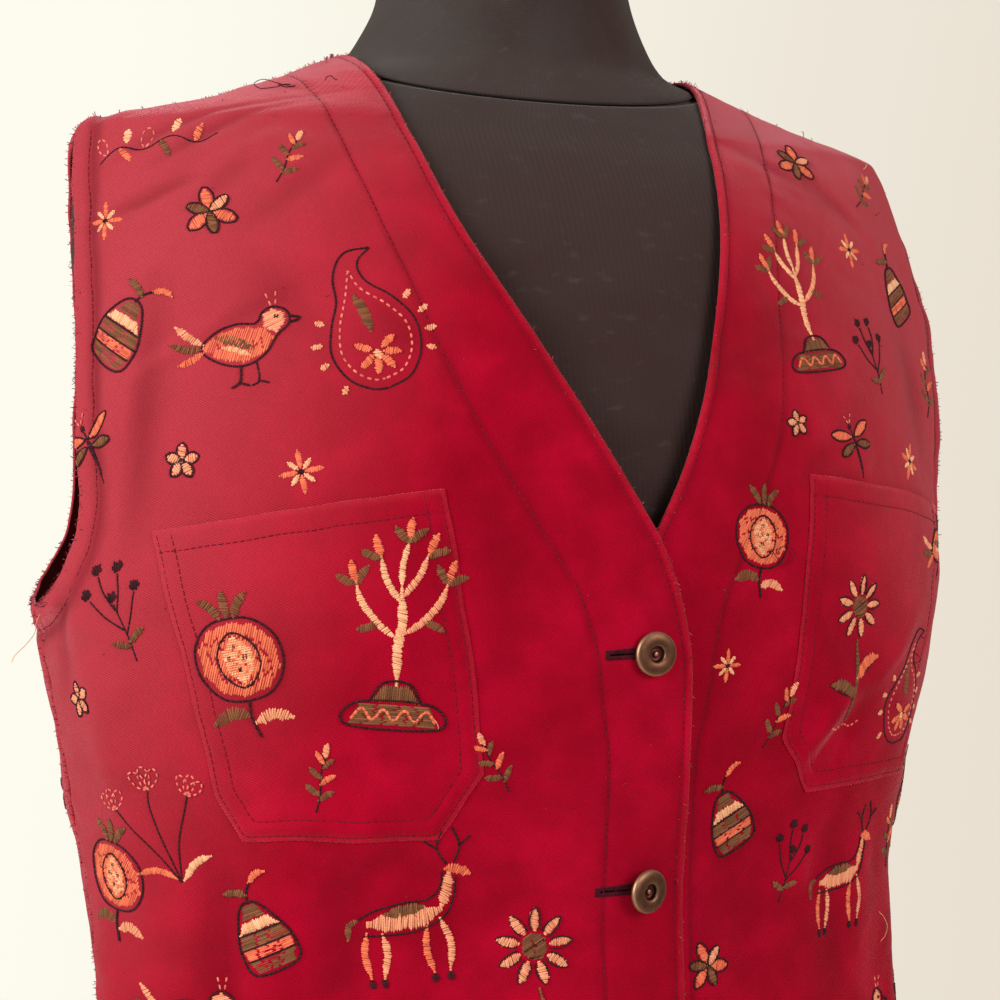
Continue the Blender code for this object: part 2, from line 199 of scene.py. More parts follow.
# Broad soft patches, where cloth is a little faded or rubbed
patchy, given, made = effect_group(
    "patchy_fading",
    (("Place", 'NodeSocketVector', None), ("Patches Per Metre", 'NodeSocketFloat', 14.0)),
    (("Mask", 'NodeSocketFloat'), ("Fine Mask", 'NodeSocketFloat')))
broad = shader_node(patchy, 'TexNoise', {
    "Vector": given["Place"], "Scale": given["Patches Per Metre"], "Detail": 3.0, "Roughness": 0.55})
clear = shader_node(patchy, 'MapRange', {
    "Value": broad.outputs["Fac"], "From Min": 0.36, "From Max": 0.66}, interpolation_type='SMOOTHSTEP')
many = shader_node(patchy, 'Math', {0: given["Patches Per Metre"], 1: 22.0}, operation='MULTIPLY')
fine = shader_node(patchy, 'TexNoise', {
    "Vector": given["Place"], "Scale": many.outputs[0], "Detail": 2.0, "Roughness": 0.6})
patchy.links.new(clear.outputs["Result"], made["Mask"])
patchy.links.new(fine.outputs["Fac"], made["Fine Mask"])

# Knitted jersey: rows of small loops, V-shaped along the wales
knit, given, made = effect_group(
    "jersey_knit",
    (("Place", 'NodeSocketVector', None), ("Wales Per Metre", 'NodeSocketFloat', 1100.0)),
    (("Height", 'NodeSocketFloat'), ("Shade", 'NodeSocketFloat')))
ways = shader_node(knit, 'SeparateXYZ', {0: given["Place"]})
wale = shader_node(knit, 'Math', {0: ways.outputs[0], 1: given["Wales Per Metre"]}, operation='MULTIPLY')
slope = shader_node(knit, 'Math', {0: wale.outputs[0], 1: 0.5}, operation='PINGPONG')
course = shader_node(knit, 'Math', {0: ways.outputs[1], 1: given["Wales Per Metre"]},
    operation='MULTIPLY')
loop = shader_node(knit, 'Math', {0: slope.outputs[0], 1: 1.4, 2: course.outputs[0]},
    operation='MULTIPLY_ADD')
turn = shader_node(knit, 'Math', {0: loop.outputs[0], 1: math.tau}, operation='MULTIPLY')
wave = shader_node(knit, 'Math', {0: turn.outputs[0]}, operation='SINE')
lift = shader_node(knit, 'MapRange', {"Value": wave.outputs[0], "From Min": -1.0})
groove = shader_node(knit, 'Math', {0: slope.outputs[0], 1: 2.0}, operation='MULTIPLY')
height = shader_node(knit, 'Math', {0: lift.outputs[0], 1: groove.outputs[0]}, operation='MULTIPLY')
knit.links.new(height.outputs[0], made["Height"])
knit.links.new(lift.outputs[0], made["Shade"])

form_jersey, tree, shader = new_finish("charcoal_jersey")
place = shader_node(tree, 'UVMap', uv_map="cloth_place")
loops = shader_node(tree, 'Group', {"Place": place.outputs[0], "Wales Per Metre": 950.0}, node_tree=knit)
fade = shader_node(tree, 'Group', {"Place": place.outputs[0], "Patches Per Metre": 9.0}, node_tree=patchy)
# Painted shade and red bounce light from the vest: the jersey is dark reddish brown below 0.56 m and its own grey
# above 0.68 m
up_form = shader_node(tree, 'SeparateXYZ', {0: place.outputs[0]})
painted_shade_fadeout = shader_node(tree, 'MapRange', {
    "Value": up_form.outputs[1], "From Min": 0.56, "From Max": 0.68}, interpolation_type='SMOOTHSTEP')
jersey_with_painted_bounce = shader_node(tree, 'Mix', {
    0: painted_shade_fadeout.outputs[0], 6: (0.0225, 0.0085, 0.008, 1.0), 7: (0.041, 0.034, 0.031,
        1.0)}, data_type='RGBA')
body = shader_node(tree, 'Mix', {
    0: fade.outputs["Mask"], 6: jersey_with_painted_bounce.outputs[2], 7: (0.031, 0.018, 0.0165, 1.0)}, data_type='RGBA')
lint = shader_node(tree, 'MapRange', {"Value": fade.outputs["Fine Mask"], "From Min": 0.6,
    "From Max": 0.78})
lint_share = shader_node(tree, 'Math', {0: lint.outputs[0], 1: 0.3}, operation='MULTIPLY')
dusty = shader_node(tree, 'Mix', {
    0: lint_share.outputs[0], 6: body.outputs[2], 7: (0.062, 0.056, 0.054, 1.0)}, data_type='RGBA')
rough = shader_node(tree, 'MapRange', {"Value": loops.outputs["Shade"], "To Min": 0.88, "To Max": 0.98})
relief = shader_node(tree, 'Bump', {
    "Height": loops.outputs["Height"], "Strength": 0.55, "Distance": 0.0004})
tree.links.new(dusty.outputs[2], shader.inputs["Base Color"])
tree.links.new(rough.outputs[0], shader.inputs["Roughness"])
tree.links.new(relief.outputs[0], shader.inputs["Normal"])
shader.inputs["Sheen Weight"].default_value = 0.1
shader.inputs["Sheen Roughness"].default_value = 0.4
shader.inputs["Sheen Tint"].default_value = (0.85, 0.76, 0.72, 1.0)
shader.inputs["Specular IOR Level"].default_value = 0.12

form_turn = math.pi + np.arange(FORM_SIDES) * math.tau / FORM_SIDES


def form_ring(heights, inset=0.0):
    """Ring of the form at these heights, drawn in by an even width."""
    ring = section_points(FORM_SECTIONS, form_turn, heights)
    ring[:, :2] -= ring[:, :2] * (inset / np.linalg.norm(ring[:, :2], axis=1))[:, None]
    return ring


rings = []
for height, inset in ((0.0, 0.0035), (0.0006, 0.0016), (0.0018, 0.0005), (0.0035, 0.0)):
    rings.append(form_ring(height, inset))
for height in np.linspace(0.008, 0.6, 75):
    rings.append(section_points(FORM_SECTIONS, form_turn, height))
seam = neck_seam_z(form_turn)
for share in np.linspace(0.03, 0.985, 34):
    rings.append(section_points(FORM_SECTIONS, form_turn, 0.6 + (seam - 0.6) * share))
for inset, drop in ((0.0006, 0.0001), (0.0018, 0.0008), (0.0029, 0.0005), (0.0041, -0.0006)):
    rings.append(form_ring(seam - drop, inset))
form_torso = solid_of_rings(
    "form_torso_jersey", rings, (0.0, 0.0, 0.0), (0.0, 0.004, NECK_SEAM_SIDE_Z + 0.01), form_jersey)

rings = []
for inset, rise in ((0.0041, 0.0009), (0.002, 0.0009), (0.0004, 0.0012), (-0.0003, 0.0022)):
    rings.append(form_ring(seam + rise, inset))
for share in np.linspace(0.055, 0.95, 36):
    rings.append(section_points(FORM_SECTIONS, form_turn, seam + (FORM_TOP_Z - seam) * share))
for inset, drop in ((0.0004, 0.0016), (0.0014, 0.0006), (0.0032, 0.0001), (0.01, 0.0), (0.025, 0.0)):
    rings.append(form_ring(FORM_TOP_Z - drop, inset))
form_neck = solid_of_rings(
    "form_neck_jersey", rings, (0.0, 0.004, NECK_SEAM_SIDE_Z + 0.0135), (0.0, 0.0, FORM_TOP_Z),
    form_jersey)
for cover, node in ((form_torso, "form_torso"), (form_neck, "form_neck")):
    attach(cover, "root")
    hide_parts(node)


# Right front: one piece of red cotton twill from the side seam to the buttoned edge. Its neck and
# front edges are turned back over a 28 mm facing, and the armhole and hem are turned once.
# It laps 14.5 mm over the left front and carries the buttonholes.
HEM_Z = 0.095
UNDERARM_Z = 0.449
TIP_Z = 0.6374
NECK_POINT_Z = 0.6722
V_POINT_Z = 0.472
CLOSURE_X = 0.009
CLOSURE_LOW_Z = 0.49
CLOSURE_HIGH_Z = 0.62
LAP = 0.0145
LAP_DROP = 0.062
LAP_LIFT = 0.0027
SWAY = 0.004
WALL = 0.0018
CLOTH = 0.0013
INNER_CLEARANCE = 0.0003
VEST_SECTIONS = (
    (.095, .203, .111, .12),
    (.149, .199, .1085, .1165),
    (.21, .189, .1045, .109),
    (.27, .1787, .1015, .1025),
    (.32, .181, .1015, .1015),
    (.376, .1902, .108, .106),
    (.426, .2, .1153, .113),
    (.456, .2045, .1165, .1175),
    (.48, .201, .116, .121),
    (.52, .1985, .1115, .1235),
    (.56, .1945, .1015, .122),
    (.59, .192, .0905, .116),
    (.61, .19, .081, .109),
    (.625, .188, .0715, .102),
    (.6374, .1846, .062, .0935),
    (.65, .1425, .0555, .083),
    (.6615, .108, .05, .0735),
    (.6725, .078, .0455, .066),
)
# Neckline: height and half opening at the front, measured from the closure line
NECKLINE = (
    (.472, .0000),
    (.49, .0105),
    (.509, .0205),
    (.528, .0297),
    (.547, .0384),
    (.574, .05),
    (.6, .0592),
    (.625, .0657),
    (.648, .0708),
    (.6722, .0776),
)
# Armhole: height and how many degrees it cuts into the front and the back
ARMHOLE = (
    (.449, .0, .0),
    (.4515, 5.0, 7.5),
    (.456, 9.5, 13.5),
    (.464, 13.5, 19.0),
    (.478, 15.5, 23.5),
    (.5, 15.0, 25.5),
    (.54, 12.5, 25.0),
    (.58, 10.0, 21.0),
    (.61, 7.0, 15.0),
    (.63, 3.5, 7.0),
    (.6374, .0, .0),
)
# Main folds: angle round the body, height, half length, half width, rise, lean
FOLDS = (
    (-70.0, .4, .09, .014, .003, -.1),
    (80.0, .545, .105, .036, .011, .00),
    (-56.0, .2, .11, .016, .0045, .12),
    (-30.0, .165, .08, .015, .003, -.08),
    (-84.0, .24, .12, .017, .004, .05),
    (34.0, .19, .11, .017, .004, -.1),
    (60.0, .24, .12, .016, .0042, .1),
    (52.0, .385, .075, .022, .0022, -.25),
    (76.0, .395, .07, .018, .0028, -.1),
    (112.0, .26, .13, .018, .0042, .08),
    (138.0, .2, .11, .02, .0036, -.06),
    (165.0, .24, .12, .019, .003, .05),
    (-158.0, .21, .12, .02, .0038, .06),
    (-128.0, .25, .13, .018, .004, -.07),
    (-104.0, .33, .1, .015, .0034, .1),
)
# Creases of the right front, in the same terms; a falling rise is a trough
RIGHT_CREASES = (
    (-61.0, .522, .078, .01, -.0016, .1),
    (-56.5, .634, .02, .006, -.0011, 2.4),
    (-50.5, .631, .018, .0055, -.0013, 1.9),
    (-47.5, .619, .022, .0065, .001, 1.7),
    (-59.0, .607, .017, .009, -.0014, 3.00),
    (-55.0, .59, .026, .0075, .0008, 1.4),
    (-38.0, .606, .024, .007, -.0007, 1.2),
    (-47.0, .555, .022, .008, -.0009, 1.6),
    (-57.0, .545, .018, .0075, .0007, 1.9),
    (-24.0, .548, .03, .0065, -.0006, -.95),
    (-15.0, .47, .045, .008, -.0006, -.35),
    (-33.0, .345, .022, .007, -.0008, 1.3),
    (-67.0, .512, .07, .009, .0015, .14),
    (-53.5, .322, .062, .011, -.0017, .07),
    (-45.0, .31, .071, .01, .0016, -.05),
    (-36.5, .318, .055, .012, -.0015, .04),
    (-34.0, .381, .016, .013, -.0014, .55),
    (-27.0, .3, .05, .01, .0011, -.12),
    (-49.0, .607, .022, .008, -.0007, .85),
    (-40.0, .566, .026, .011, -.0007, -.6),
    (-33.0, .556, .019, .007, .0006, -.75),
    (-72.0, .452, .03, .008, .0013, .62),
    (-78.0, .436, .036, .007, -.0012, .48),
    (-64.0, .424, .024, .009, .001, .9),
    (-20.0, .224, .06, .01, -.0012, .15),
    (-41.0, .212, .085, .011, -.0019, .08),
    (-70.0, .19, .08, .012, -.002, -.08),
    (-16.0, .135, .034, .009, .001, .2),
    (-14.0, .4, .01, .016, .0006, 1.6),
    (-19.0, .344, .013, .015, -.0006, -1.3),
)
# Embroidered motifs of this front: chart, angle round the body, height, turn in degrees, scale
RIGHT_MOTIFS = (
    ("sprig", -38, .62, -24, .8), ("vine", -60, .626, 8, 1), ("blossom", -50, .598, 12, 1),
    ("star", -70, .597, 0, .8), ("paisley", -29, .553, 14, .95), ("gourd", -65, .556, -32, .9),
    ("bird", -45.5, .545, 6, 1.05), ("dragonfly", -71, .508, 28, .9),
    ("small_blossom", -54, .503, 0, 1.1),
    ("star", -38, .498, 10, .9), ("tree", -26.5, .445, -6, .98), ("pomegranate", -46, .43, 10, 1.1),
    ("berries", -64, .447, 16, .95), ("small_blossom", -75.5, .414, 20, 1.15),
    ("sprig", -36.5, .385, -10, .8),
    ("bells", -62, .366, 8, .85), ("sprig", -16, .388, 30, .8), ("deer", -26.5, .327, 4, 1.05),
    ("pomegranate", -74, .345, -8, 1), ("gourd", -47, .328, 22, .9), ("sunflower", -11, .316, 6, .95),
    ("blossom", -37, .282, 40, .95), ("bird", -60, .29, -6, 1), ("sprig", -80, .275, 10, 1),
    ("berries", -25, .262, 8, .9), ("paisley", -45, .225, -16, 1), ("tree", -68, .205, 4, 1),
    ("star", -14, .215, 0, 1), ("dragonfly", -27, .205, -20, .95), ("deer", -83, .15, -4, 1),
    ("bells", -20, .155, -8, 1), ("blossom", -37, .15, 0, 1.1), ("gourd", -52, .135, 12, .95),
    ("sprig", -9.5, .12, -14, .85), ("vine", -66, .112, 0, 1),
)
BUTTON_TOP_Z = 0.427
BUTTON_SPACING = 0.092
BUTTON_COUNT = 4
BUTTON_SHIFT = 0.0035
SLIT_HALF_HEIGHT = 0.0007
SLIT_LENGTH = 0.021
SLIT_PAST_BUTTON = 0.0022
# Distances from an edge at which the cloth is modelled finely, for its roll and stitch lines
FACING = 0.028
NEAR_FACED_EDGE = (0, .0004, .0009, .0016, .0025, .0030, .0035, .0040, .0050, .0068, .0090, .0115,
                   .0145, .0175, .0205, .0235, .0258, .0270, .0277, .0284, .0295, .0315)
NEAR_TURNED_EDGE = (0, .0004, .0010, .0018, .0030, .0050, .0075, .0092, .0100, .0108, .0125, .0155)


def smooth_step(low, high, value):
    t = np.clip((value - low) / (high - low), 0.0, 1.0)
    return t * t * (3.0 - 2.0 * t)


def sway(heights):
    """The waist of the vest hangs a little towards the wearer's right."""
    return -SWAY * smooth_step(0.13, 0.22, heights) * (1.0 - smooth_step(0.36, 0.44, heights))


def rise_of(folds, angles, heights):
    """How far soft folds or creases lift the cloth."""
    reach = reading(VEST_SECTIONS, heights, 1)
    total = np.zeros(np.broadcast(angles, heights).shape)
    for where, middle, half_length, half_width, rise, lean in folds:
        along = (heights - middle) / half_length
        turn = (angles - math.radians(where) + math.pi) % math.tau - math.pi
        across = (turn * reach * 0.8 - lean * (heights - middle)) / half_width
        ends = np.where(np.abs(along) < 1.0, np.cos(along * math.pi / 2) ** 2, 0.0)
        total += rise * ends * np.exp(-across * across)
    return total


def vest_face(angles, heights):
    """Points of the vest's inner face, and the directions square to the cloth."""
    step = 0.0005
    angles, heights = np.broadcast_arrays(angles, heights)
    centre = section_points(VEST_SECTIONS, angles, heights)
    centre[..., 0] += sway(heights)
    low, high = np.maximum(heights - step, HEM_Z), np.minimum(heights + step, NECK_POINT_Z)
    round_body = (section_points(VEST_SECTIONS, angles + step, heights)
                  - section_points(VEST_SECTIONS, angles - step, heights))
    up_body = section_points(VEST_SECTIONS, angles, high) - section_points(VEST_SECTIONS, angles, low)
    square = np.cross(round_body, up_body)
    square /= np.linalg.norm(square, axis=-1, keepdims=True)
    return centre + square * rise_of(FOLDS, angles, heights)[..., None], square


def closure_x(heights):
    return CLOSURE_X * (1.0 - smooth_step(CLOSURE_LOW_Z, CLOSURE_HIGH_Z, heights))


def front_edge_angle(side, heights):
    """Angle of a front's inner edge: the neckline above the V, the lapped edge below it."""
    drop = np.clip((V_POINT_Z - heights) / LAP_DROP, 0.0, 1.0)
    opening = np.where(heights >= V_POINT_Z, reading(NECKLINE, heights, 1),
        -LAP * (1.0 - (1.0 - drop) ** 2))
    x = closure_x(heights) + side * opening - sway(heights)
    return np.arcsin(np.clip(x / reading(VEST_SECTIONS, heights, 1), -0.995, 0.995))


def outer_edge_angle(side, heights, half):
    """Angle of a panel's side seam, armhole and shoulder edge; half is 2 in front and 3 behind."""
    seam_half = 0.5 * SEAM_GAP / reading(VEST_SECTIONS, heights, half)
    inset = np.where(heights > UNDERARM_Z, np.radians(reading(ARMHOLE, heights, half - 1)), 0.0)
    if half == 2:
        return side * (math.pi / 2 - seam_half - inset)
    return side * (math.pi / 2 + seam_half + inset)


def panel_rows(step, extra=()):
    """Heights of a panel's rows, close together along the hem, the armhole's foot and the shoulder."""
    rows = [HEM_Z + d for d in (0, .0004, .0010, .0018, .0030, .0045, .0185, .0193, .0200, .0207, .0215)]
    rows += list(np.arange(HEM_Z + 0.0065, UNDERARM_Z - step * 0.6, step))
    rows += list(np.arange(UNDERARM_Z, 0.4518, 0.0003)) + list(np.arange(0.4524, 0.46, 0.0007))
    rows += list(np.arange(0.461, TIP_Z - 0.0006, step)) + list(np.linspace(TIP_Z, NECK_POINT_Z, 52))
    rows = sorted([r for r in rows if all(abs(r - e) > 0.0005 for e in extra)] + list(extra))
    return np.array(rows)


def facing_width(heights):
    """The facing is 28 mm wide at the shoulders and widest beside the top button."""
    return FACING + 0.011 * smooth_step(0.6, 0.5, heights) - 0.005 * smooth_step(0.42, 0.38, heights)


def near_faced_edge(heights):
    near = np.array(NEAR_FACED_EDGE)
    return np.where(near > 0.005, near * facing_width(heights)[:, None] / FACING, near)


def spread_angles(first, last, heights, near_first, near_last, middle):
    """Angles of each row's points at set distances from both edges, and their places in metres."""
    shares = np.linspace(0.0, 1.0, 81)
    fine = first[:, None] + (last - first)[:, None] * shares
    points = section_points(VEST_SECTIONS, fine, heights[:, None])
    steps = np.linalg.norm(np.diff(points, axis=1), axis=2)
    lengths = np.concatenate((np.zeros((len(heights), 1)), np.cumsum(steps, axis=1)), axis=1)
    angles, places = [], []
    half_way = 0.5 * (first[0] + last[0])
    column = section_points(VEST_SECTIONS, half_way, heights)
    near_first, near_last = (np.broadcast_to(near,
        (len(heights), np.shape(near)[-1])) for near in (near_first, near_last))
    climb = length_along(column)
    for row in range(len(heights)):
        width = lengths[row, -1]
        fit = min(1.0, 0.49 * width / max(near_first[row, -1], near_last[row, -1]))
        left = near_first[row] * fit
        right = width - near_last[row, ::-1] * fit
        wanted = np.concatenate((left, np.linspace(left[-1], right[0], middle + 2)[1:-1], right))
        angles.append(np.interp(wanted, lengths[row], fine[row]))
        zero = np.interp(half_way, fine[row], lengths[row])
        places.append(np.stack((wanted - zero, np.full(len(wanted), climb[row])), axis=1))
    return np.array(angles), np.array(places)


def distance_from(line, points):
    """Distance of each point from a line given by closely set points."""
    tree = kdtree.KDTree(len(line))
    for i, spot in enumerate(line):
        tree.insert(spot, i)
    tree.balance()
    flat = points.reshape(-1, 3)
    return np.array([tree.find(spot)[2] for spot in flat]).reshape(points.shape[:-1])


def refine(line, step=0.0008):
    """The same line with points at an even small step."""
    line = np.asarray(line)
    run = length_along(line)
    wanted = np.linspace(0.0, run[-1], max(2, int(run[-1] / step) + 1))
    return points_at(wanted, run, line)


def unevenness(points, size, seed):
    """Smooth random lift between -1 and 1, of features about this size."""
    offset = Vector((seed * 7.1, seed * 3.7, seed * 1.3))
    flat = points.reshape(-1, 3) / size
    return np.array([noise.noise(Vector(spot) + offset) for spot in flat]).reshape(points.shape[:-1])


def groove(distance, where, width):
    return np.exp(-((distance - where) / width) ** 2)


def cloth_relief(points, heights, edges, motifs, seed):
    """Lift of the cloth's face: slackness, puckers beside stitching and embroidery, rolls and seams."""
    slack = 1.0 - 0.6 * smooth_step(0.57, 0.63, heights)
    lift = 0.0016 * slack * unevenness(points, 0.062, seed)
    lift += 0.00085 * (0.4 + 0.6 * slack) * unevenness(points, 0.026, seed + 1)
    gathers = unevenness(points, 0.0095, seed + 2)
    faced, armhole, seams, hem = edges
    facing = faced * FACING / facing_width(heights)
    lift += 0.00022 * gathers
    lift += 0.00011 * unevenness(points, 0.0045, seed + 3)
    # Embroidery draws the cloth in: it is firm under each motif and puckered round its rim
    for _, angle, height, _, scale in motifs:
        away = np.linalg.norm(points - vest_face(math.radians(angle), height)[0], axis=-1) / scale
        lift += 0.00035 * np.exp(-(away / 0.015) ** 4) - 0.00055 * (0.55 + gathers) * groove(away, 0.02,
            0.0055)
    lift += 0.00034 * gathers * np.exp(-((facing - FACING) / 0.007) ** 2)
    lift += 0.0007 * gathers * np.exp(-((armhole - 0.009) / 0.009) ** 2)
    lift += 0.00075 * gathers * np.exp(-(np.minimum(seams, hem) / 0.012) ** 2)
    lift += 0.00034 * (groove(faced, 0.0017, 0.0015) - groove(faced, 0.0036, 0.0009))
    lift += 0.00024 * smooth_step(0.029, 0.0275, facing) - 0.0004 * groove(facing, FACING, 0.0009)
    lift += 0.0008 * groove(armhole, 0.0045, 0.004) - 0.00075 * groove(armhole, 0.0125, 0.0032)
    lift += 0.0004 * groove(armhole, 0.0195, 0.0045)
    lift += 0.00026 * smooth_step(0.0112, 0.0098, armhole) - 0.00065 * groove(armhole, 0.0102, 0.0013)
    lift += 0.00022 * smooth_step(0.0212, 0.0198, hem) - 0.00024 * groove(hem, 0.02, 0.0009)
    lift += 0.00025 * groove(seams, 0.0035, 0.0022)
    lift -= 0.00055 * np.exp(-(seams / 0.001) ** 2)
    rounding = np.minimum(faced, np.minimum(armhole, hem))
    lift -= 0.00045 * np.exp(-(rounding / 0.0006) ** 2)
    return lift


def cloth_shell(name, outer, inner, places, wear_and_shade, kept=None):
    """Closed shell of cloth from its two faces, walled along every edge and round every slit."""
    rows, columns = outer.shape[:2]
    count = rows * columns
    index = np.arange(count).reshape(rows, columns)
    kept = np.ones((rows - 1, columns - 1), bool) if kept is None else kept
    skin = np.stack([part[kept] for part in (index[:-1, :-1], index[:-1, 1:], index[1:, 1:],
        index[1:, :-1])], 1)
    start, stop = skin.ravel(), np.roll(skin, -1, axis=1).ravel()
    free = ~np.isin(start * count + stop, stop * count + start)
    start, stop = start[free], stop[free]
    out, inn = outer.reshape(-1, 3), inner.reshape(-1, 3)
    run = out[stop] - out[start]
    away = unit(np.cross(run, out[start] - inn[start]))
    push = np.zeros((count, 3))
    np.add.at(push, start, away)
    np.add.at(push, stop, away)
    rim = np.unique(start)
    push[rim] = unit(push[rim])
    middle = 0.5 * (out + inn) + push * 0.00018
    used = np.unique(skin)
    order = np.full(3 * count, -1)
    order[used] = np.arange(len(used))
    order[used + count] = np.arange(len(used)) + len(used)
    order[rim + 2 * count] = np.arange(len(rim)) + 2 * len(used)
    points = np.concatenate((out[used], inn[used], middle[rim]))
    upper = np.stack((stop, start, start + 2 * count, stop + 2 * count), 1)
    lower = np.stack((stop + 2 * count, start + 2 * count, start + count, stop + count), 1)
    faces = order[np.concatenate((skin, skin[:, ::-1] + count, upper, lower))]
    piece = new_piece(name, points.tolist(), faces.tolist())
    mesh = piece.data
    source = np.concatenate((used, used, rim))
    corners = np.empty(len(mesh.loops), dtype=int)
    mesh.loops.foreach_get("vertex_index", corners)
    spots = places.reshape(-1, 2)[source][corners]
    layer = mesh.uv_layers.new(name="cloth_place")
    layer.data.foreach_set("uv", spots.astype(np.float32).ravel())
    # This attribute carries edge wear, and painted shade where it falls below zero
    wear_and_shade_layer = mesh.attributes.new("edge_wear_and_trough_shade", 'FLOAT', 'POINT')
    wear_and_shade_layer.data.foreach_set("value", wear_and_shade.ravel()[source].astype(np.float32))
    return piece


# Cotton twill: fine slanting ribs, crossed by uneven warp threads
twill, given, made = effect_group(
    "woven_twill",
    (("Place", 'NodeSocketVector', None), ("Ribs Per Metre", 'NodeSocketFloat', 1050.0),
     ("Slub", 'NodeSocketFloat', .5)),
    (("Height", 'NodeSocketFloat'), ("Shade", 'NodeSocketFloat')))
ways = shader_node(twill, 'SeparateXYZ', {0: given["Place"]})
slant = shader_node(twill, 'Math', {0: ways.outputs[0], 1: 0.45, 2: ways.outputs[1]},
    operation='MULTIPLY_ADD')
drift = shader_node(twill, 'TexNoise', {"Vector": given["Place"], "Scale": 260.0, "Detail": 2.0})
ribs = shader_node(twill, 'Math', {0: slant.outputs[0], 1: given["Ribs Per Metre"]}, operation='MULTIPLY')
moved = shader_node(twill, 'Math', {
    0: drift.outputs["Fac"], 1: given["Slub"], 2: ribs.outputs[0]}, operation='MULTIPLY_ADD')
turn = shader_node(twill, 'Math', {0: moved.outputs[0], 1: math.tau}, operation='MULTIPLY')
wave = shader_node(twill, 'Math', {0: turn.outputs[0]}, operation='SINE')
rib = shader_node(twill, 'MapRange', {"Value": wave.outputs[0], "From Min": -1.0})
warp_place = shader_node(twill, 'VectorMath', {0: given["Place"], 1: (2600.0, 210.0, 1.0)},
    operation='MULTIPLY')
warp = shader_node(twill, 'TexNoise', {"Vector": warp_place.outputs[0], "Scale": 1.0, "Detail": 2.0})
height = shader_node(twill, 'Math', {0: warp.outputs["Fac"], 1: 0.7, 2: rib.outputs[0]},
    operation='MULTIPLY_ADD')
shade = shader_node(twill, 'MapRange', {"Value": height.outputs[0], "From Min": 0.3, "From Max": 1.3})
twill.links.new(height.outputs[0], made["Height"])
twill.links.new(shade.outputs[0], made["Shade"])

red_twill, tree, shader = new_finish("red_cotton_twill")
place = shader_node(tree, 'UVMap', uv_map="cloth_place")
weave = shader_node(tree, 'Group', {"Place": place.outputs[0], "Ribs Per Metre": 1080.0, "Slub": 0.45},
                    node_tree=twill)
fade = shader_node(tree, 'Group', {"Place": place.outputs[0], "Patches Per Metre": 16.0},
    node_tree=patchy)
blotch = shader_node(tree, 'Group', {"Place": place.outputs[0], "Patches Per Metre": 41.0},
    node_tree=patchy)
# The sides and the shoulders are painted paler and pinker, a painted sheen of grazing light
where = shader_node(tree, 'TexCoord')
across = shader_node(tree, 'SeparateXYZ', {0: where.outputs["Object"]})
sideways = shader_node(tree, 'Math', {0: across.outputs[0]}, operation='ABSOLUTE')
outward = shader_node(tree, 'Math', {
    0: across.outputs[2], 1: 0.35, 2: sideways.outputs[0]}, operation='MULTIPLY_ADD')
painted_sheen_share = shader_node(tree, 'MapRange', {
    "Value": outward.outputs[0], "From Min": 0.238, "From Max": 0.385}, interpolation_type='SMOOTHSTEP')
wear_and_shade_layer = shader_node(tree, 'Attribute', attribute_name="edge_wear_and_trough_shade")
dyed = shader_node(tree, 'Mix', {
    0: fade.outputs["Mask"], 6: (0.265, 0.0001, 0.012, 1.0), 7: (0.36, 0.0006, 0.019,
        1.0)}, data_type='RGBA')
# Smaller random patches mix up to 30 percent of a near-black red into the dye
blotch_share = shader_node(tree, 'MapRange',
    {"Value": blotch.outputs["Mask"], "To Min": 0.3, "To Max": 0.0})
dyed = shader_node(tree, 'Mix', {
    0: blotch_share.outputs[0], 6: dyed.outputs[2], 7: (0.12, 0.0, 0.003, 1.0)}, data_type='RGBA')
# Painted sheen: the red is mixed towards pale pink on the sides and shoulders
dyed = shader_node(tree, 'Mix', {
    0: painted_sheen_share.outputs[0], 6: dyed.outputs[2], 7: (0.35, 0.036, 0.05, 1.0)}, data_type='RGBA')
# Painted shade in the grooves of the weave: the rib troughs are darkened
rib_groove_shade_share = shader_node(tree, 'MapRange',
    {"Value": weave.outputs["Shade"], "To Min": 0.3, "To Max": 0.0})
shaded = shader_node(tree, 'Mix', {
    0: rib_groove_shade_share.outputs[0], 6: dyed.outputs[2], 7: (0.11, 0.0, 0.003, 1.0)}, data_type='RGBA')
# Painted shade: where the attribute falls below zero the red is darkened towards near black
painted_trough_shade = shader_node(tree, 'MapRange', {"Value": wear_and_shade_layer.outputs["Fac"], "From Max": -1.0, "To Max": 0.8})
shaded = shader_node(tree, 'Mix', {
    0: painted_trough_shade.outputs[0], 6: shaded.outputs[2], 7: (0.07, 0.0, 0.003, 1.0)}, data_type='RGBA')
rubbed = shader_node(tree, 'Math', {0: wear_and_shade_layer.outputs["Fac"], 1: fade.outputs["Fine Mask"]},
    operation='MULTIPLY')
faded = shader_node(tree, 'Mix', {
    0: rubbed.outputs[0], 6: shaded.outputs[2], 7: (0.47, 0.03, 0.046, 1.0)}, data_type='RGBA')
rough = shader_node(tree, 'MapRange', {"Value": fade.outputs["Fine Mask"], "To Min": 0.8, "To Max": 0.95})
relief = shader_node(tree, 'Bump', {
    "Height": weave.outputs["Height"], "Strength": 0.75, "Distance": 0.00025})
tree.links.new(faded.outputs[2], shader.inputs["Base Color"])
tree.links.new(rough.outputs[0], shader.inputs["Roughness"])
tree.links.new(relief.outputs[0], shader.inputs["Normal"])
shader.inputs["Sheen Weight"].default_value = 0.48
shader.inputs["Sheen Roughness"].default_value = 0.28
shader.inputs["Sheen Tint"].default_value = (1.0, 0.46, 0.52, 1.0)
shader.inputs["Specular IOR Level"].default_value = 0.04


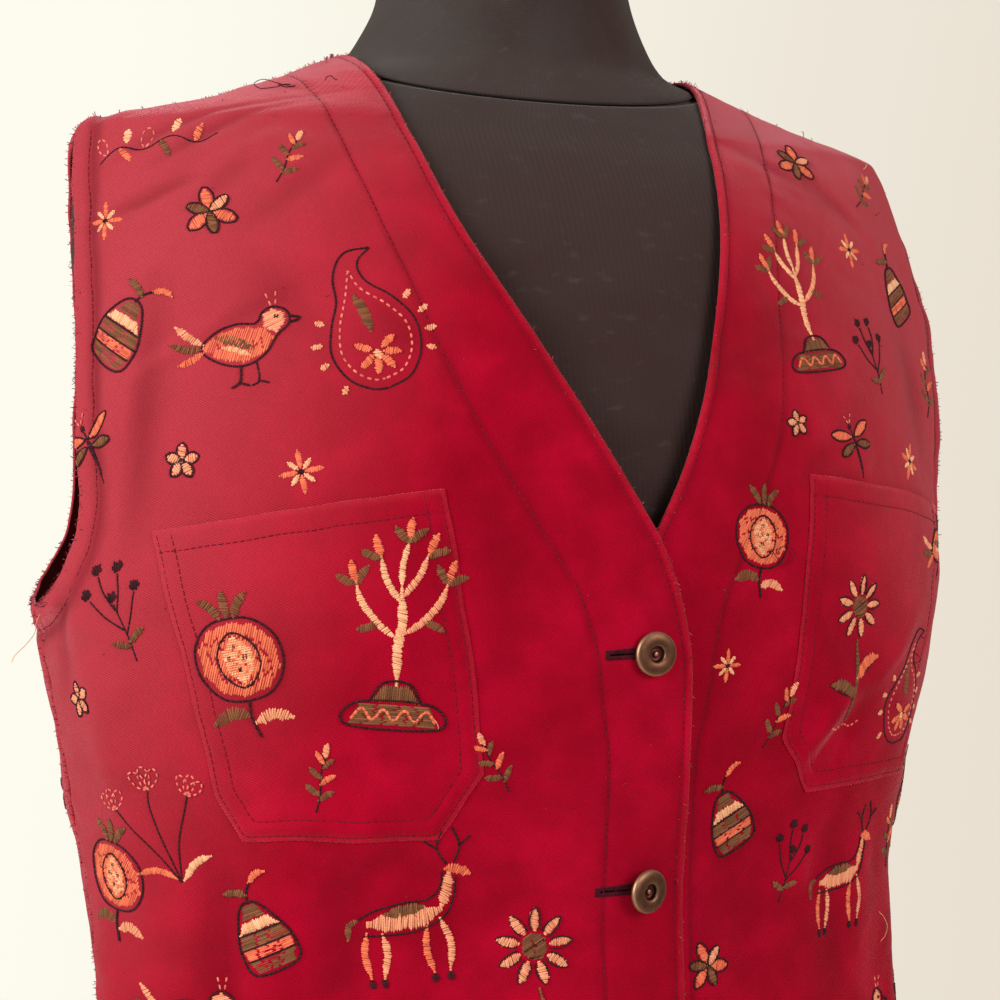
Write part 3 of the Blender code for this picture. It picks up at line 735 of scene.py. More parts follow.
def lay_panel(name, angles, tall, places, edges, creases, motifs, lift, calm, seed, kept=None):
    """Cloth shell of one panel, with the points of its outer face and the directions square to it."""
    base, square = vest_face(angles, tall)
    creased = rise_of(creases, angles, tall)
    relief = (creased + cloth_relief(base, tall, edges, motifs, seed)) * calm
    top = lift + INNER_CLEARANCE + CLOTH + relief
    under = lift + INNER_CLEARANCE + np.maximum(relief * 0.9, -0.00025)
    wear_and_shade = 0.36 * np.exp(-(np.minimum(edges[0], np.minimum(edges[1], edges[3])) / 0.0022) ** 2)
    wear_and_shade += 0.25 * np.exp(-(edges[2] / 0.0025) ** 2)
    # Painted shade: the troughs of the creases, the groove beside the turned armhole and the stitch lines along the
    # faced edge are painted darker
    wear_and_shade -= 0.5 * np.clip(-creased / 0.0015, 0.0, 1.0) + 0.62 * groove(edges[1], 0.0125, 0.0034)
    facing = edges[0] * FACING / facing_width(tall)
    wear_and_shade -= 0.45 * groove(facing, FACING + 0.0003, 0.0011) + 0.3 * groove(edges[0], 0.004, 0.0011)
    outer, inner = base + square * top[..., None], base + square * under[..., None]
    piece = cloth_shell(name, outer, inner, places, wear_and_shade, kept)
    piece.data.materials.append(red_twill)
    return piece, outer, square


def panel_edges(base, heights, outer_column, inner_column):
    """Distances of a front's points from its faced edge, armhole, seams and hem."""
    at_arm = (heights >= UNDERARM_Z) & (heights <= TIP_Z)
    faced = refine(base[:, inner_column])
    armhole = refine(base[at_arm, outer_column])
    side_seam = refine(base[heights <= UNDERARM_Z, outer_column])
    shoulder = refine(base[heights >= TIP_Z, outer_column])
    lines = (faced, armhole, np.concatenate((side_seam, shoulder)), refine(base[0]))
    return [distance_from(line, base) for line in lines], lines


button_heights = [BUTTON_TOP_Z - BUTTON_SPACING * i for i in range(BUTTON_COUNT)]
slit_rows = [h + d for h in button_heights for d in (-0.0022, -SLIT_HALF_HEIGHT, SLIT_HALF_HEIGHT,
    0.0022)]
right_heights = panel_rows(0.0019, slit_rows)
right_angles, right_places = spread_angles(
    outer_edge_angle(-1, right_heights, 2), front_edge_angle(-1, right_heights), right_heights,
    NEAR_TURNED_EDGE, near_faced_edge(right_heights), 60)
right_base = vest_face(right_angles, right_heights[:, None])[0]
right_edges, right_lines = panel_edges(right_base, right_heights, 0, -1)
round_x = reading(VEST_SECTIONS, right_heights, 1)[:, None] * np.sin(right_angles)
beside_closure = round_x + (sway(right_heights) - closure_x(right_heights))[:, None]
right_lift = LAP_LIFT * smooth_step(-0.058, -0.027, beside_closure)
right_lift = right_lift * (1.0 - smooth_step(0.485, 0.545, right_heights))[:, None]
cell_height = 0.5 * (right_heights[1:] + right_heights[:-1])[:, None]
cell_x = 0.5 * (right_base[1:, 1:, 0] + right_base[:-1, :-1, 0])
whole = np.ones(cell_x.shape, bool)
near_buttons = np.zeros(right_angles.shape)
for height in button_heights:
    from_button = np.hypot(right_base[..., 0] - closure_x(height) + BUTTON_SHIFT,
        right_heights[:, None] - height)
    near_buttons += np.exp(-(from_button / 0.013) ** 2)
    button_x = closure_x(height) - BUTTON_SHIFT
    slit_end = button_x + SLIT_PAST_BUTTON
    whole &= ~((np.abs(cell_height - height) < SLIT_HALF_HEIGHT)
               & (cell_x > slit_end - SLIT_LENGTH) & (cell_x < slit_end))
right_front, right_outer, right_square = lay_panel(
    "right_front_cloth", right_angles, right_heights[:, None], right_places, right_edges, RIGHT_CREASES,
    RIGHT_MOTIFS, right_lift, 1.0 - 0.85 * near_buttons, 1, whole)
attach(right_front, "root")
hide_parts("right_front")


# Left front: cut like the right one, its faced edge lying flat under the right front's lap. It has
# no buttonholes, and the buttons are sewn on through both its layers.
LEFT_CREASES = (
    (29.7, .392, .03, .0075, .003, .58),
    (31.0, .626, .018, .006, -.0009, -1.8),
    (44.0, .612, .024, .007, -.0011, -1.5),
    (52.0, .6, .022, .0065, .001, -1.2),
    (17.0, .56, .04, .0075, -.0007, .35),
    (30.0, .505, .03, .008, -.0007, 1.1),
    (14.0, .33, .04, .008, -.0008, .25),
    (33.4, .384, .027, .009, -.0021, .6),
    (25.6, .398, .022, .008, -.001, .5),
    (43.0, .421, .026, .0085, .0026, .95),
    (49.0, .409, .024, .009, -.0019, 1.05),
    (60.0, .432, .024, .01, .0014, .7),
    (20.0, .322, .046, .011, -.001, .12),
    (37.0, .315, .052, .01, -.0016, -.06),
    (46.0, .3, .064, .012, .0013, .08),
    (70.0, .33, .06, .011, -.0015, .16),
    (24.0, .556, .024, .009, -.0006, .66),
    (39.0, .586, .02, .008, .0005, .82),
    (58.0, .532, .05, .011, -.0013, -.14),
    (22.0, .19, .062, .01, -.0013, -.1),
    (48.0, .17, .066, .012, -.0018, .06),
    (80.0, .18, .07, .011, -.0017, .1),
    (14.0, .452, .012, .014, .0006, -1.2),
)
LEFT_MOTIFS = (
    ("blossom", 37, .63, -14, 1), ("sprig", 55, .622, -50, .85), ("tree", 29, .572, 6, .85),
    ("star", 43.5, .592, 0, .85), ("gourd", 58, .578, 24, .85), ("berries", 43.5, .545, 12, .85),
    ("sprig", 66, .535, -10, .9), ("small_blossom", 24, .515, 10, .9), ("pomegranate", 17, .47, -8, .9),
    ("dragonfly", 35, .505, 14, .85), ("star", 51, .5, -24, .9), ("bird", 60, .462, 12, .9),
    ("star", 12, .42, 0, .7), ("sunflower", 33, .44, 4, .82), ("sprig", 21.5, .398, -22, .85),
    ("paisley", 50, .402, -8, .85), ("gourd", 15.5, .36, 26, .85), ("berries", 27, .336, -16, .85),
    ("deer", 40, .322, 0, .95), ("blossom", 13, .3, 24, .95), ("sprig", 58, .335, 16, .9),
    ("pomegranate", 70, .35, 6, 1), ("tree", 27, .242, -4, .95), ("bird", 48, .258, -8, 1),
    ("blossom", 66, .262, 0, 1), ("star", 38, .212, 0, 1), ("paisley", 11, .215, 18, .85),
    ("bells", 58, .19, 8, 1), ("gourd", 76, .2, -14, 1), ("deer", 22, .142, 2, .95),
    ("sunflower", 43, .175, -6, .9), ("sprig", 10, .135, 20, .9), ("dragonfly", 66, .132, 30, 1),
    ("berries", 82, .135, 0, 1),
)
left_heights = panel_rows(0.0019)
left_angles, left_places = spread_angles(
    front_edge_angle(1, left_heights), outer_edge_angle(1, left_heights, 2), left_heights,
    near_faced_edge(left_heights), NEAR_TURNED_EDGE, 60)
left_base = vest_face(left_angles, left_heights[:, None])[0]
left_edges, left_lines = panel_edges(left_base, left_heights, -1, 0)
# The cloth lies flatter where the right front covers it
left_x = reading(VEST_SECTIONS, left_heights, 1)[:, None] * np.sin(left_angles)
left_x = left_x + (sway(left_heights) - closure_x(left_heights))[:, None]
under_lap = smooth_step(0.045, 0.018, left_x) * smooth_step(0.53, 0.47, left_heights)[:, None]
left_front, left_outer, left_square = lay_panel(
    "left_front_cloth", left_angles, left_heights[:, None], left_places, left_edges, LEFT_CREASES,
    LEFT_MOTIFS, 0.0, 1.0 - 0.7 * under_lap, 5)
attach(left_front, "root")
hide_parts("left_front")


# Back: one piece of the same twill, joined to the fronts at the sides and shoulders. Its neck is
# turned over a narrow facing, and its armholes and hem are turned once.
BACK_NECK_Z = 0.656
BACK_NECK_ROUND = 0.086
BACK_CREASES = (
    (100.0, .43, .046, .009, .0016, .55),
    (107.0, .418, .05, .01, -.0015, .48),
    (122.0, .352, .06, .011, -.0016, .12),
    (131.0, .306, .072, .012, .0015, -.05),
    (150.0, .33, .085, .013, -.0016, .07),
    (172.0, .3, .066, .012, .001, -.06),
    (186.0, .356, .052, .011, -.001, .1),
    (203.0, .33, .074, .012, .0015, -.11),
    (215.0, .3, .08, .011, -.0017, .04),
    (238.0, .342, .058, .01, .0014, .14),
    (252.0, .424, .044, .009, -.0014, -.58),
    (259.0, .436, .04, .008, .0015, -.62),
    (140.0, .57, .032, .011, -.0009, .72),
    (224.0, .562, .03, .01, -.0009, -.8),
    (180.0, .634, .01, .02, .0007, .00),
    (163.0, .612, .018, .01, -.0006, 1.1),
    (118.0, .18, .07, .012, -.0019, .06),
    (155.0, .16, .06, .011, -.0015, -.09),
    (192.0, .176, .074, .012, -.0017, .05),
    (228.0, .168, .066, .011, .0014, -.07),
    (247.0, .186, .072, .012, -.0016, .08),
)
BACK_MOTIFS = (
    ("blossom", 134, .606, 10, 1.1), ("bird", 160, .596, -6, 1.1), ("sprig", 181, .62, 0, 1),
    ("paisley", 200, .59, 14, 1), ("gourd", 226, .6, -24, 1), ("tree", 146, .528, 4, 1),
    ("pomegranate", 178, .545, 0, 1.05), ("deer", 212, .518, 0, 1.1), ("berries", 122, .545, -10, 1),
    ("bells", 234, .536, 10, 1), ("star", 163, .5, 0, 1), ("dragonfly", 194, .47, 18, 1),
    ("sunflower", 130, .46, -6, 1), ("bird", 108, .4, 8, 1), ("small_blossom", 152, .452, 0, 1.2),
    ("paisley", 170, .415, -18, 1), ("tree", 220, .43, -4, 1), ("sprig", 244, .43, 22, 1),
    ("gourd", 196, .392, 8, 1), ("pomegranate", 142, .375, 12, 1), ("blossom", 254, .372, 0, 1.1),
    ("deer", 116, .315, 0, 1), ("bells", 184, .328, -4, 1), ("berries", 210, .34, 14, 1),
    ("bird", 236, .312, -10, 1), ("star", 160, .332, 0, 1), ("paisley", 98, .22, 10, 1),
    ("sunflower", 158, .278, 4, .95), ("dragonfly", 131, .262, -16, 1), ("tree", 204, .246, 2, 1),
    ("sprig", 178, .222, -12, 1), ("gourd", 226, .246, 20, 1), ("pomegranate", 252, .24, 4, 1),
    ("blossom", 140, .205, 0, 1.1), ("vine", 116, .19, -4, 1.1), ("deer", 178, .15, 2, 1),
    ("berries", 154, .14, 10, 1), ("bells", 228, .16, -8, 1), ("star", 202, .15, 0, 1),
    ("bird", 126, .13, 4, 1), ("sprig", 246, .145, 12, 1), ("gourd", 104, .125, -8, 1),
)


def back_neck_z(angles):
    """Height of the back neckline: level at the neck points, lowest at the middle of the back."""
    deepest = BACK_NECK_ROUND ** -0.2
    here = (np.sin(angles) ** 2 + BACK_NECK_ROUND) ** -0.2
    return NECK_POINT_Z - (NECK_POINT_Z - BACK_NECK_Z) * np.maximum(0.0, here - 1.0) / (deepest - 1.0)


back_heights = panel_rows(0.0024)
back_angles, back_places = spread_angles(
    outer_edge_angle(1, back_heights, 3), math.tau + outer_edge_angle(-1, back_heights, 3), back_heights,
    NEAR_TURNED_EDGE, NEAR_TURNED_EDGE, 100)
climb = np.clip((back_heights - TIP_Z) / (NECK_POINT_Z - TIP_Z), 0.0, None)
back_tall = back_heights[:, None] - (NECK_POINT_Z - back_neck_z(back_angles)) * climb[:, None]
back_base = vest_face(back_angles, back_tall)[0]
at_arm = (back_heights >= UNDERARM_Z) & (back_heights <= TIP_Z)
back_armholes = [refine(back_base[at_arm, column]) for column in (0, -1)]
back_seams = [refine(back_base[rows, column]) for column in (0, -1)
              for rows in (back_heights <= UNDERARM_Z, back_heights >= TIP_Z)]
back_lines = (refine(back_base[-1]), np.concatenate(back_armholes), np.concatenate(back_seams),
    refine(back_base[0]))
back_edges = [distance_from(line, back_base) for line in back_lines]
back, back_outer, back_square = lay_panel(
    "back_cloth", back_angles, back_tall, back_places, back_edges, BACK_CREASES, BACK_MOTIFS,
    0.0, 1.0, 9)
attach(back, "root")
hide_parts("back")


# Patch pockets: six-sided pieces of the twill, turned in all round and sewn down along the sides
# and foot with two rows of stitches. The mouth is hemmed and stands a little open.
POCKET_FOOT_Z = {-1: 0.36, 1: 0.364}
POCKET_SHIFT = {-1: 0.0, 1: -0.005}
# Distance round the body from the closure line and height above the foot, from the inner top corner
POCKET_OUTLINE = (
    (.083, .131),
    (.069, .024),
    (.085, .0000),
    (.159, .001),
    (.169, .018),
    (.195, .117),
)
CORNER_SHARE = 0.17


def angle_round(side, distances, heights):
    """Angles reached by going round the body from the closure line for some distances."""
    half_width, depth = reading(VEST_SECTIONS, heights, 1), reading(VEST_SECTIONS, heights, 2)
    angles = np.arcsin((closure_x(heights) - sway(heights)) / half_width)
    for _ in range(40):
        angles = angles + side * distances / 40 / np.hypot(half_width * np.cos(angles),
            depth * np.sin(angles))
    return angles


def touch_cloth(cloth, points, squares):
    """Where rays dropped onto the cloth meet it; rays that miss give no number."""
    flat, aim = points.reshape(-1, 3), squares.reshape(-1, 3)
    found = []
    for start, way in zip(flat, aim):
        spot = cloth.ray_cast(Vector(start + way * 0.02), Vector(-way), 0.04)[0]
        found.append((math.nan,) * 3 if spot is None else tuple(spot))
    return np.array(found).reshape(points.shape)


def surface_tree(*pieces):
    """Search tree over the faces of one or more pieces."""
    points, faces = [], []
    for piece in pieces:
        first = len(points)
        points += [tuple(v.co) for v in piece.data.vertices]
        faces += [tuple(first + v for v in face.vertices) for face in piece.data.polygons]
    return BVHTree.FromPolygons(points, faces)


def sew_pocket(name, side, panel_tree, seed):
    """Pocket shell laid on its front, with its outer face and its lines of sewing."""
    ends = np.array((0, .0003, .0008, .0015, .0022, .0032, .0050, .0070, .0078, .0086, .0100))
    across = np.concatenate((ends / 0.09, np.linspace(0.13, 0.87, 62), 1.0 - ends[::-1] / 0.09))
    shares = np.concatenate((
        ends[:9] / 0.131, np.linspace(0.072, CORNER_SHARE, 12), np.linspace(0.18, 0.92, 64),
        1.0 - ends[::-1] / 0.131))
    inner, outer = np.array(POCKET_OUTLINE[2::-1]), np.array(POCKET_OUTLINE[3:])
    start = np.stack([np.interp(shares, (0.0, CORNER_SHARE, 1.0), inner[:, k]) for k in (0, 1)], 1)
    stop = np.stack([np.interp(shares, (0.0, CORNER_SHARE, 1.0), outer[:, k]) for k in (0, 1)], 1)
    flat = start[:, None] + (stop - start)[:, None] * across[None, :, None]
    if side < 0:
        flat = flat[:, ::-1]
    places = np.stack((flat[..., 0] * side, flat[..., 1]), axis=-1)
    level = np.concatenate((flat, 0.0 * flat[..., :1]), axis=-1)
    flat = flat + 0.0011 * np.stack((unevenness(level, 0.024, seed + 3),
        unevenness(level, 0.024, seed + 4)), axis=-1)
    heights = POCKET_FOOT_Z[side] + flat[..., 1]
    angles = angle_round(side, flat[..., 0] + POCKET_SHIFT[side], heights)
    base, square = vest_face(angles, heights)
    touched = touch_cloth(panel_tree, base, square)
    sewn = refine(np.concatenate((touched[::-1, 0], touched[0], touched[:, -1])))
    mouth = refine(touched[-1])
    to_sewn, to_mouth = distance_from(sewn, touched), distance_from(mouth, touched)
    edge = np.minimum(to_sewn, to_mouth)
    slack = smooth_step(0.004, 0.03, to_sewn)
    lift = 0.00012 + 0.0009 * slack * np.exp(-(to_mouth / 0.024) ** 2) + 0.0004 * slack
    lift += 0.00065 * slack * unevenness(base, 0.03, seed)
    gathers = unevenness(base, 0.0085, seed + 1)
    lift += 0.00026 * gathers * np.exp(-((to_sewn - 0.006) / 0.008) ** 2) + 0.00012 * slack * gathers
    roll = 0.0003 * (groove(to_sewn, 0.0052, 0.0026) - groove(to_sewn, 0.002, 0.0008))
    roll -= 0.0003 * groove(to_sewn, 0.008, 0.001) + 0.00028 * groove(to_mouth, 0.0085, 0.0009)
    roll += 0.00016 * smooth_step(0.0095, 0.008, to_mouth) - 0.0004 * np.exp(-(edge / 0.001) ** 2)
    thickness = CLOTH - 0.00045 * np.exp(-(to_sewn / 0.003) ** 2)
    outer_face = touched + square * (lift + thickness + roll)[..., None]
    inner_face = touched + square * lift[..., None]
    piece = cloth_shell(name, outer_face, inner_face, places, 0.35 * np.exp(-(edge / 0.002) ** 2))
    piece.data.materials.append(red_twill)
    return piece, outer_face, square, (to_sewn, sewn), (to_mouth, mouth)


right_tree, left_tree, back_tree = surface_tree(right_front), surface_tree(left_front), surface_tree(back)
right_pocket = sew_pocket("right_pocket_cloth", -1, right_tree, 13)
left_pocket = sew_pocket("left_pocket_cloth", 1, left_tree, 17)
for pocket, node in ((right_pocket[0], "right_pocket"), (left_pocket[0], "left_pocket")):
    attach(pocket, "root")
    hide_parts(node)


# Topstitching: dark red cotton thread, about nine stitches to the inch, along the faced edges,
# the facing, the armholes, the hem and the pockets.
STITCH_PITCH = 0.0027
STITCH_LENGTH = 0.00262


def line_at(outer, squares, distances, line, wanted):
    """Points of the cloth's face at one distance from an edge, in order along it."""
    tree = kdtree.KDTree(len(line))
    for i, spot in enumerate(line):
        tree.insert(spot, i)
    tree.balance()
    found = []
    for low, high in ((np.s_[:, :-1], np.s_[:, 1:]), (np.s_[:-1, :], np.s_[1:, :])):
        before, after = distances[low] - wanted, distances[high] - wanted
        cross = (before * after < 0.0) & (np.abs(before - after) < 0.02)
        share = (before[cross] / (before[cross] - after[cross]))[:, None]
        spots = outer[low][cross] * (1.0 - share) + outer[high][cross] * share
        ways = squares[low][cross] * (1.0 - share) + squares[high][cross] * share
        found += [(tree.find(spot)[1], *spot, *way) for spot, way in zip(spots, ways)]
    found = np.array(sorted(found))
    bins = (found[:, 0] // 3).astype(int)
    return np.array([found[bins == b][:, 1:].mean(axis=0) for b in np.unique(bins)])


def stitches_along(line, pitch=STITCH_PITCH, length=STITCH_LENGTH):
    """Starts, ends and square directions of stitches along a line of points."""
    run = length_along(line[:, :3])
    firsts = np.arange(0.001, run[-1] - length, pitch)
    start = points_at(firsts, run, line, 6)
    stop = points_at(firsts + length, run, line, 6)
    side = unit(np.cross(stop[:, :3] - start[:, :3], start[:, 3:]))
    wander = 0.0003 * unevenness(start[:, :3], 0.011, 41) + 0.0001 * unevenness(start[:, :3], 0.002, 43)
    start[:, :3] += side * wander[:, None]
    stop[:, :3] += side * wander[:, None]
    short = np.linalg.norm(stop[:, :3] - start[:, :3], axis=1) < length * 1.3
    return start[short, :3], stop[short, :3], start[short, 3:]


def thread_mesh(name, starts, stops, squares, widths, rises, dips, finishes, which):
    """One piece of many stitches, each a thread that rises from the cloth and goes back into it."""
    count = len(starts)
    along = stops - starts
    side = unit(np.cross(along, squares))
    widths, rises, dips = (np.broadcast_to(size, count)[:, None] for size in (widths, rises, dips))
    half, rise, dip = 0.5 * widths * side, rises * squares, dips * squares
    rows = [starts - dip]
    for share in (0.16, 0.84):
        spot = starts + along * share
        rows += [spot - half, spot + rise, spot + half]
    rows.append(stops - dip)
    points = np.stack(rows, axis=1).reshape(-1, 3)
    pattern = ((0, 3, 2, 2), (0, 2, 1, 1), (1, 2, 5, 4), (2, 3, 6, 5), (4, 5, 7, 7), (5, 6, 7, 7))
    faces = [tuple(8 * n + i for i in dict.fromkeys(face)) for n in range(count) for face in pattern]
    piece = new_piece(name, points.tolist(), faces)
    mesh = piece.data
    twist = mesh.attributes.new("across_thread", 'FLOAT', 'POINT')
    twist.data.foreach_set("value", np.tile(np.array((0.5, 0.0, 0.5, 1.0, 0.0, 0.5, 1.0, 0.5),
        np.float32), count))
    random = np.random.default_rng(len(points))
    shade = mesh.attributes.new("strand_shade", 'FLOAT', 'POINT')
    shade.data.foreach_set("value", np.repeat(random.random(count), 8).astype(np.float32))
    for finish in finishes:
        mesh.materials.append(finish)
    each_face = np.repeat(np.broadcast_to(which, count), len(pattern))
    mesh.polygons.foreach_set("material_index", each_face.astype(np.int32))
    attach(piece, "root")
    return piece


# Plied thread: strands that run along the stitch with painted shade between them, and a shade of its own for each
# stitch
ply, given, made = effect_group(
    "plied_thread",
    (("Across", 'NodeSocketFloat', .5), ("Stitch Shade", 'NodeSocketFloat', .5),
        ("Strands", 'NodeSocketFloat', 3.0)),
    (("Height", 'NodeSocketFloat'), ("Shade", 'NodeSocketFloat')))
turn = shader_node(ply, 'Math', {0: given["Across"], 1: given["Strands"]}, operation='MULTIPLY')
angle = shader_node(ply, 'Math', {0: turn.outputs[0], 1: math.tau}, operation='MULTIPLY')
wave = shader_node(ply, 'Math', {0: angle.outputs[0]}, operation='COSINE')
lift = shader_node(ply, 'MapRange', {"Value": wave.outputs[0], "From Min": -1.0})
shade = shader_node(ply, 'Math', {0: lift.outputs[0], 1: 0.35, 2: given["Stitch Shade"]},
    operation='MULTIPLY_ADD')
ply.links.new(lift.outputs[0], made["Height"])
ply.links.new(shade.outputs[0], made["Shade"])


def thread_finish(name, dark, light, roughness, sheen):
    """Spun thread that varies between two shades from stitch to stitch."""
    finish, tree, shader = new_finish(name)
    across = shader_node(tree, 'Attribute', attribute_name="across_thread")
    own = shader_node(tree, 'Attribute', attribute_name="strand_shade")
    strands = shader_node(tree, 'Group', {
        "Across": across.outputs["Fac"], "Stitch Shade": own.outputs["Fac"], "Strands": 3.0},
        node_tree=ply)
    # The thread's colour follows the painted strand shade and each stitch's own tone
    share = shader_node(tree, 'MapRange', {"Value": strands.outputs["Shade"], "From Max": 1.35})
    colour = shader_node(tree, 'Mix', {
        0: share.outputs[0], 6: (*dark, 1.0), 7: (*light, 1.0)}, data_type='RGBA')
    relief = shader_node(tree, 'Bump', {
        "Height": strands.outputs["Height"], "Strength": 0.35, "Distance": 0.0002})
    rough = shader_node(tree, 'MapRange', {
        "Value": strands.outputs["Shade"], "From Max": 1.35, "To Min": roughness,
        "To Max": roughness + 0.12})
    tree.links.new(colour.outputs[2], shader.inputs["Base Color"])
    tree.links.new(rough.outputs[0], shader.inputs["Roughness"])
    tree.links.new(relief.outputs[0], shader.inputs["Normal"])
    shader.inputs["Sheen Weight"].default_value = sheen
    shader.inputs["Sheen Roughness"].default_value = 0.35
    shader.inputs["Specular IOR Level"].default_value = 0.12
    return finish


seam_thread = thread_finish("dark_red_seam_thread", (0.062, 0.0008, 0.006), (0.15, 0.002, 0.011), 0.7,
    0.04)
panel_lines = (
    ("right_front_topstitching", right_outer, right_square, right_edges, right_lines, right_pocket),
    ("left_front_topstitching", left_outer, left_square, left_edges, left_lines, left_pocket),
    ("back_topstitching", back_outer, back_square, back_edges, back_lines, None),
)
for name, outer, squares, edges, lines, pocket in panel_lines:
    sewn = []
    if pocket:
        sewn.append(stitches_along(line_at(outer, squares, edges[0], lines[0], 0.0035)))
        facing = edges[0] * FACING / facing_width(outer[..., 2])
        sewn.append(stitches_along(line_at(outer, squares, facing, lines[0], FACING)))
        sewn.append(stitches_along(line_at(outer, squares, edges[1], lines[1], 0.01)))
        for wanted in (0.002, 0.008):
            sewn.append(stitches_along(line_at(pocket[1], pocket[2], *pocket[3], wanted)))
        sewn.append(stitches_along(line_at(pocket[1], pocket[2], *pocket[4], 0.0085)))
    else:
        for wanted in (0.0035, 0.028):
            sewn.append(stitches_along(line_at(outer, squares, edges[0], lines[0], wanted)))
        for armhole in back_armholes:
            beside = distance_from(armhole, outer)
            sewn.append(stitches_along(line_at(outer, squares, beside, armhole, 0.01)))
    sewn.append(stitches_along(line_at(outer, squares, edges[3], lines[3], 0.02)))
    starts, stops, ways = (np.concatenate(part) for part in zip(*sewn))
    thread_mesh(name, starts, stops, ways, 0.00054, 0.0002, 0.00022, [seam_thread], 0)


# Buttonholes: four level slits through the right front, worked all round in dark maroon silk with a
# bar across the outer end. The shanks have pulled them a little open towards the buttons.
maroon_thread = thread_finish("maroon_buttonhole_thread", (0.024, 0.0006, 0.003), (0.072, 0.0024, 0.011),
    0.6, 0.04)
WORKED_REACH = 0.0021
WORKED_PITCH = 0.00062


def at_place(x, heights):
    """Angles of places given by their distance to the wearer's left of the middle plane."""
    return np.arcsin((x - sway(heights)) / reading(VEST_SECTIONS, heights, 1))


for number, height in enumerate(button_heights, 1):
    button_x = closure_x(height) - BUTTON_SHIFT
    slit_stop = button_x + SLIT_PAST_BUTTON
    slit_start = slit_stop - SLIT_LENGTH
    bars = []
    for x in np.arange(slit_start, slit_stop + 0.0005, WORKED_PITCH):
        gape = 0.0013 * (x - slit_start) / SLIT_LENGTH
        bars.append((x, -0.00012, x + 0.00015, -WORKED_REACH))
        bars.append((x, 0.00012, x + 0.00015, WORKED_REACH + gape))
    for x in (slit_start - 0.0007, slit_start - 0.0001, slit_start + 0.0005):
        bars.append((x, -WORKED_REACH, x, WORKED_REACH))
    for way in (-0.0015, -0.0007, 0.0, 0.0007, 0.0015):
        bars.append((slit_start - 0.0013, way, slit_start + 0.0011, way))
    bars = np.array(bars)
    rows = []
    for x, dz in ((bars[:, 0], bars[:, 1]), (bars[:, 2], bars[:, 3])):
        tall = height + dz
        base, square = vest_face(at_place(x, tall), tall)
        probe = height + np.where(dz < 0.0, -0.0016, 0.0016)
        probe_base, probe_square = vest_face(at_place(x, probe), probe)
        touched = touch_cloth(right_tree, probe_base, probe_square)
        rise = np.einsum("ij,ij->i", touched - probe_base, probe_square)
        rows.append(base + square * rise[:, None])
    thread_mesh("buttonhole_%d" % number, rows[0], rows[1], square, 0.00075, 0.00045, 0.0003,
                [maroon_thread], 0)


# Buttons: turned brass rings 17 mm across with an aged finish, a deep recess and a small pin in
# the middle. Each is sewn through its back on a wound thread shank.
BUTTON_RADIUS = 0.0086
BUTTON_TURN = (0.0, 13.0, -4.0, 6.0)
REST_GAP = 0.00045
BUTTON_SIDES = 72
# Radius as a share of the whole, height above the back, and how much the place is rubbed bright
BUTTON_PROFILE = (
    (.3, .0001, .0), (.66, .00000, .1), (.84, .00012, .1), (.95, .00062, .3),
    (.995, .00125, .6), (1.00, .00175, .8), (.985, .00228, 1.0), (.95, .00268, .9),
    (.89, .00302, .22), (.8, .0033, .12), (.69, .00344, .09), (.58, .00345, .09),
    (.48, .00336, .12), (.41, .00318, .3), (.375, .0029, .4), (.355, .0025, .1),
    (.345, .0019, .0), (.335, .0013, .0), (.3, .001, .0), (.2, .00092, .0),
    (.135, .00095, .0), (.12, .00125, .2), (.112, .0019, .5), (.085, .00218, .8),
)

aged_brass, tree, shader = new_finish("aged_brass")
place = shader_node(tree, 'TexCoord')
tarnish = shader_node(tree, 'Group', {"Place": place.outputs["Object"], "Patches Per Metre": 260.0},
    node_tree=patchy)
rubbed = shader_node(tree, 'Attribute', attribute_name="rubbed_bright")
bright_share = shader_node(tree, 'Math', {
    0: rubbed.outputs["Fac"], 1: tarnish.outputs["Fine Mask"]}, operation='MULTIPLY')
base = shader_node(tree, 'Mix', {
    0: tarnish.outputs["Mask"], 6: (0.046, 0.015, 0.007, 1.0), 7: (0.078, 0.027, 0.013,
        1.0)}, data_type='RGBA')
bright = shader_node(tree, 'Mix', {
    0: bright_share.outputs[0], 6: base.outputs[2], 7: (0.56, 0.33, 0.2, 1.0)}, data_type='RGBA')
deep = shader_node(tree, 'MapRange', {"Value": rubbed.outputs["Fac"], "From Max": 0.1, "To Min": 0.22,
    "To Max": 1.0})
colour = shader_node(tree, 'Mix', {
    0: deep.outputs[0], 6: (0.06, 0.01, 0.01, 1.0), 7: bright.outputs[2]}, data_type='RGBA')
rough = shader_node(tree, 'MapRange', {
    "Value": tarnish.outputs["Fine Mask"], "From Min": 0.3, "From Max": 0.7, "To Min": 0.34,
    "To Max": 0.52})
relief = shader_node(tree, 'Bump', {
    "Height": tarnish.outputs["Fine Mask"], "Strength": 0.12, "Distance": 0.0002})
tree.links.new(colour.outputs[2], shader.inputs["Base Color"])
tree.links.new(rough.outputs[0], shader.inputs["Roughness"])
tree.links.new(relief.outputs[0], shader.inputs["Normal"])
shader.inputs["Metallic"].default_value = 0.85
shader.inputs["Specular IOR Level"].default_value = 0.3


def turned(name, profile, sides, foot, head):
    """Closed turned form about Z through rings of radius and height."""
    angles = np.arange(sides) * math.tau / sides
    points = [(r * math.cos(t), r * math.sin(t), z) for r, z in profile for t in angles]
    points += [(0.0, 0.0, foot), (0.0, 0.0, head)]
    return new_piece(name, points, ring_faces(len(profile), sides))


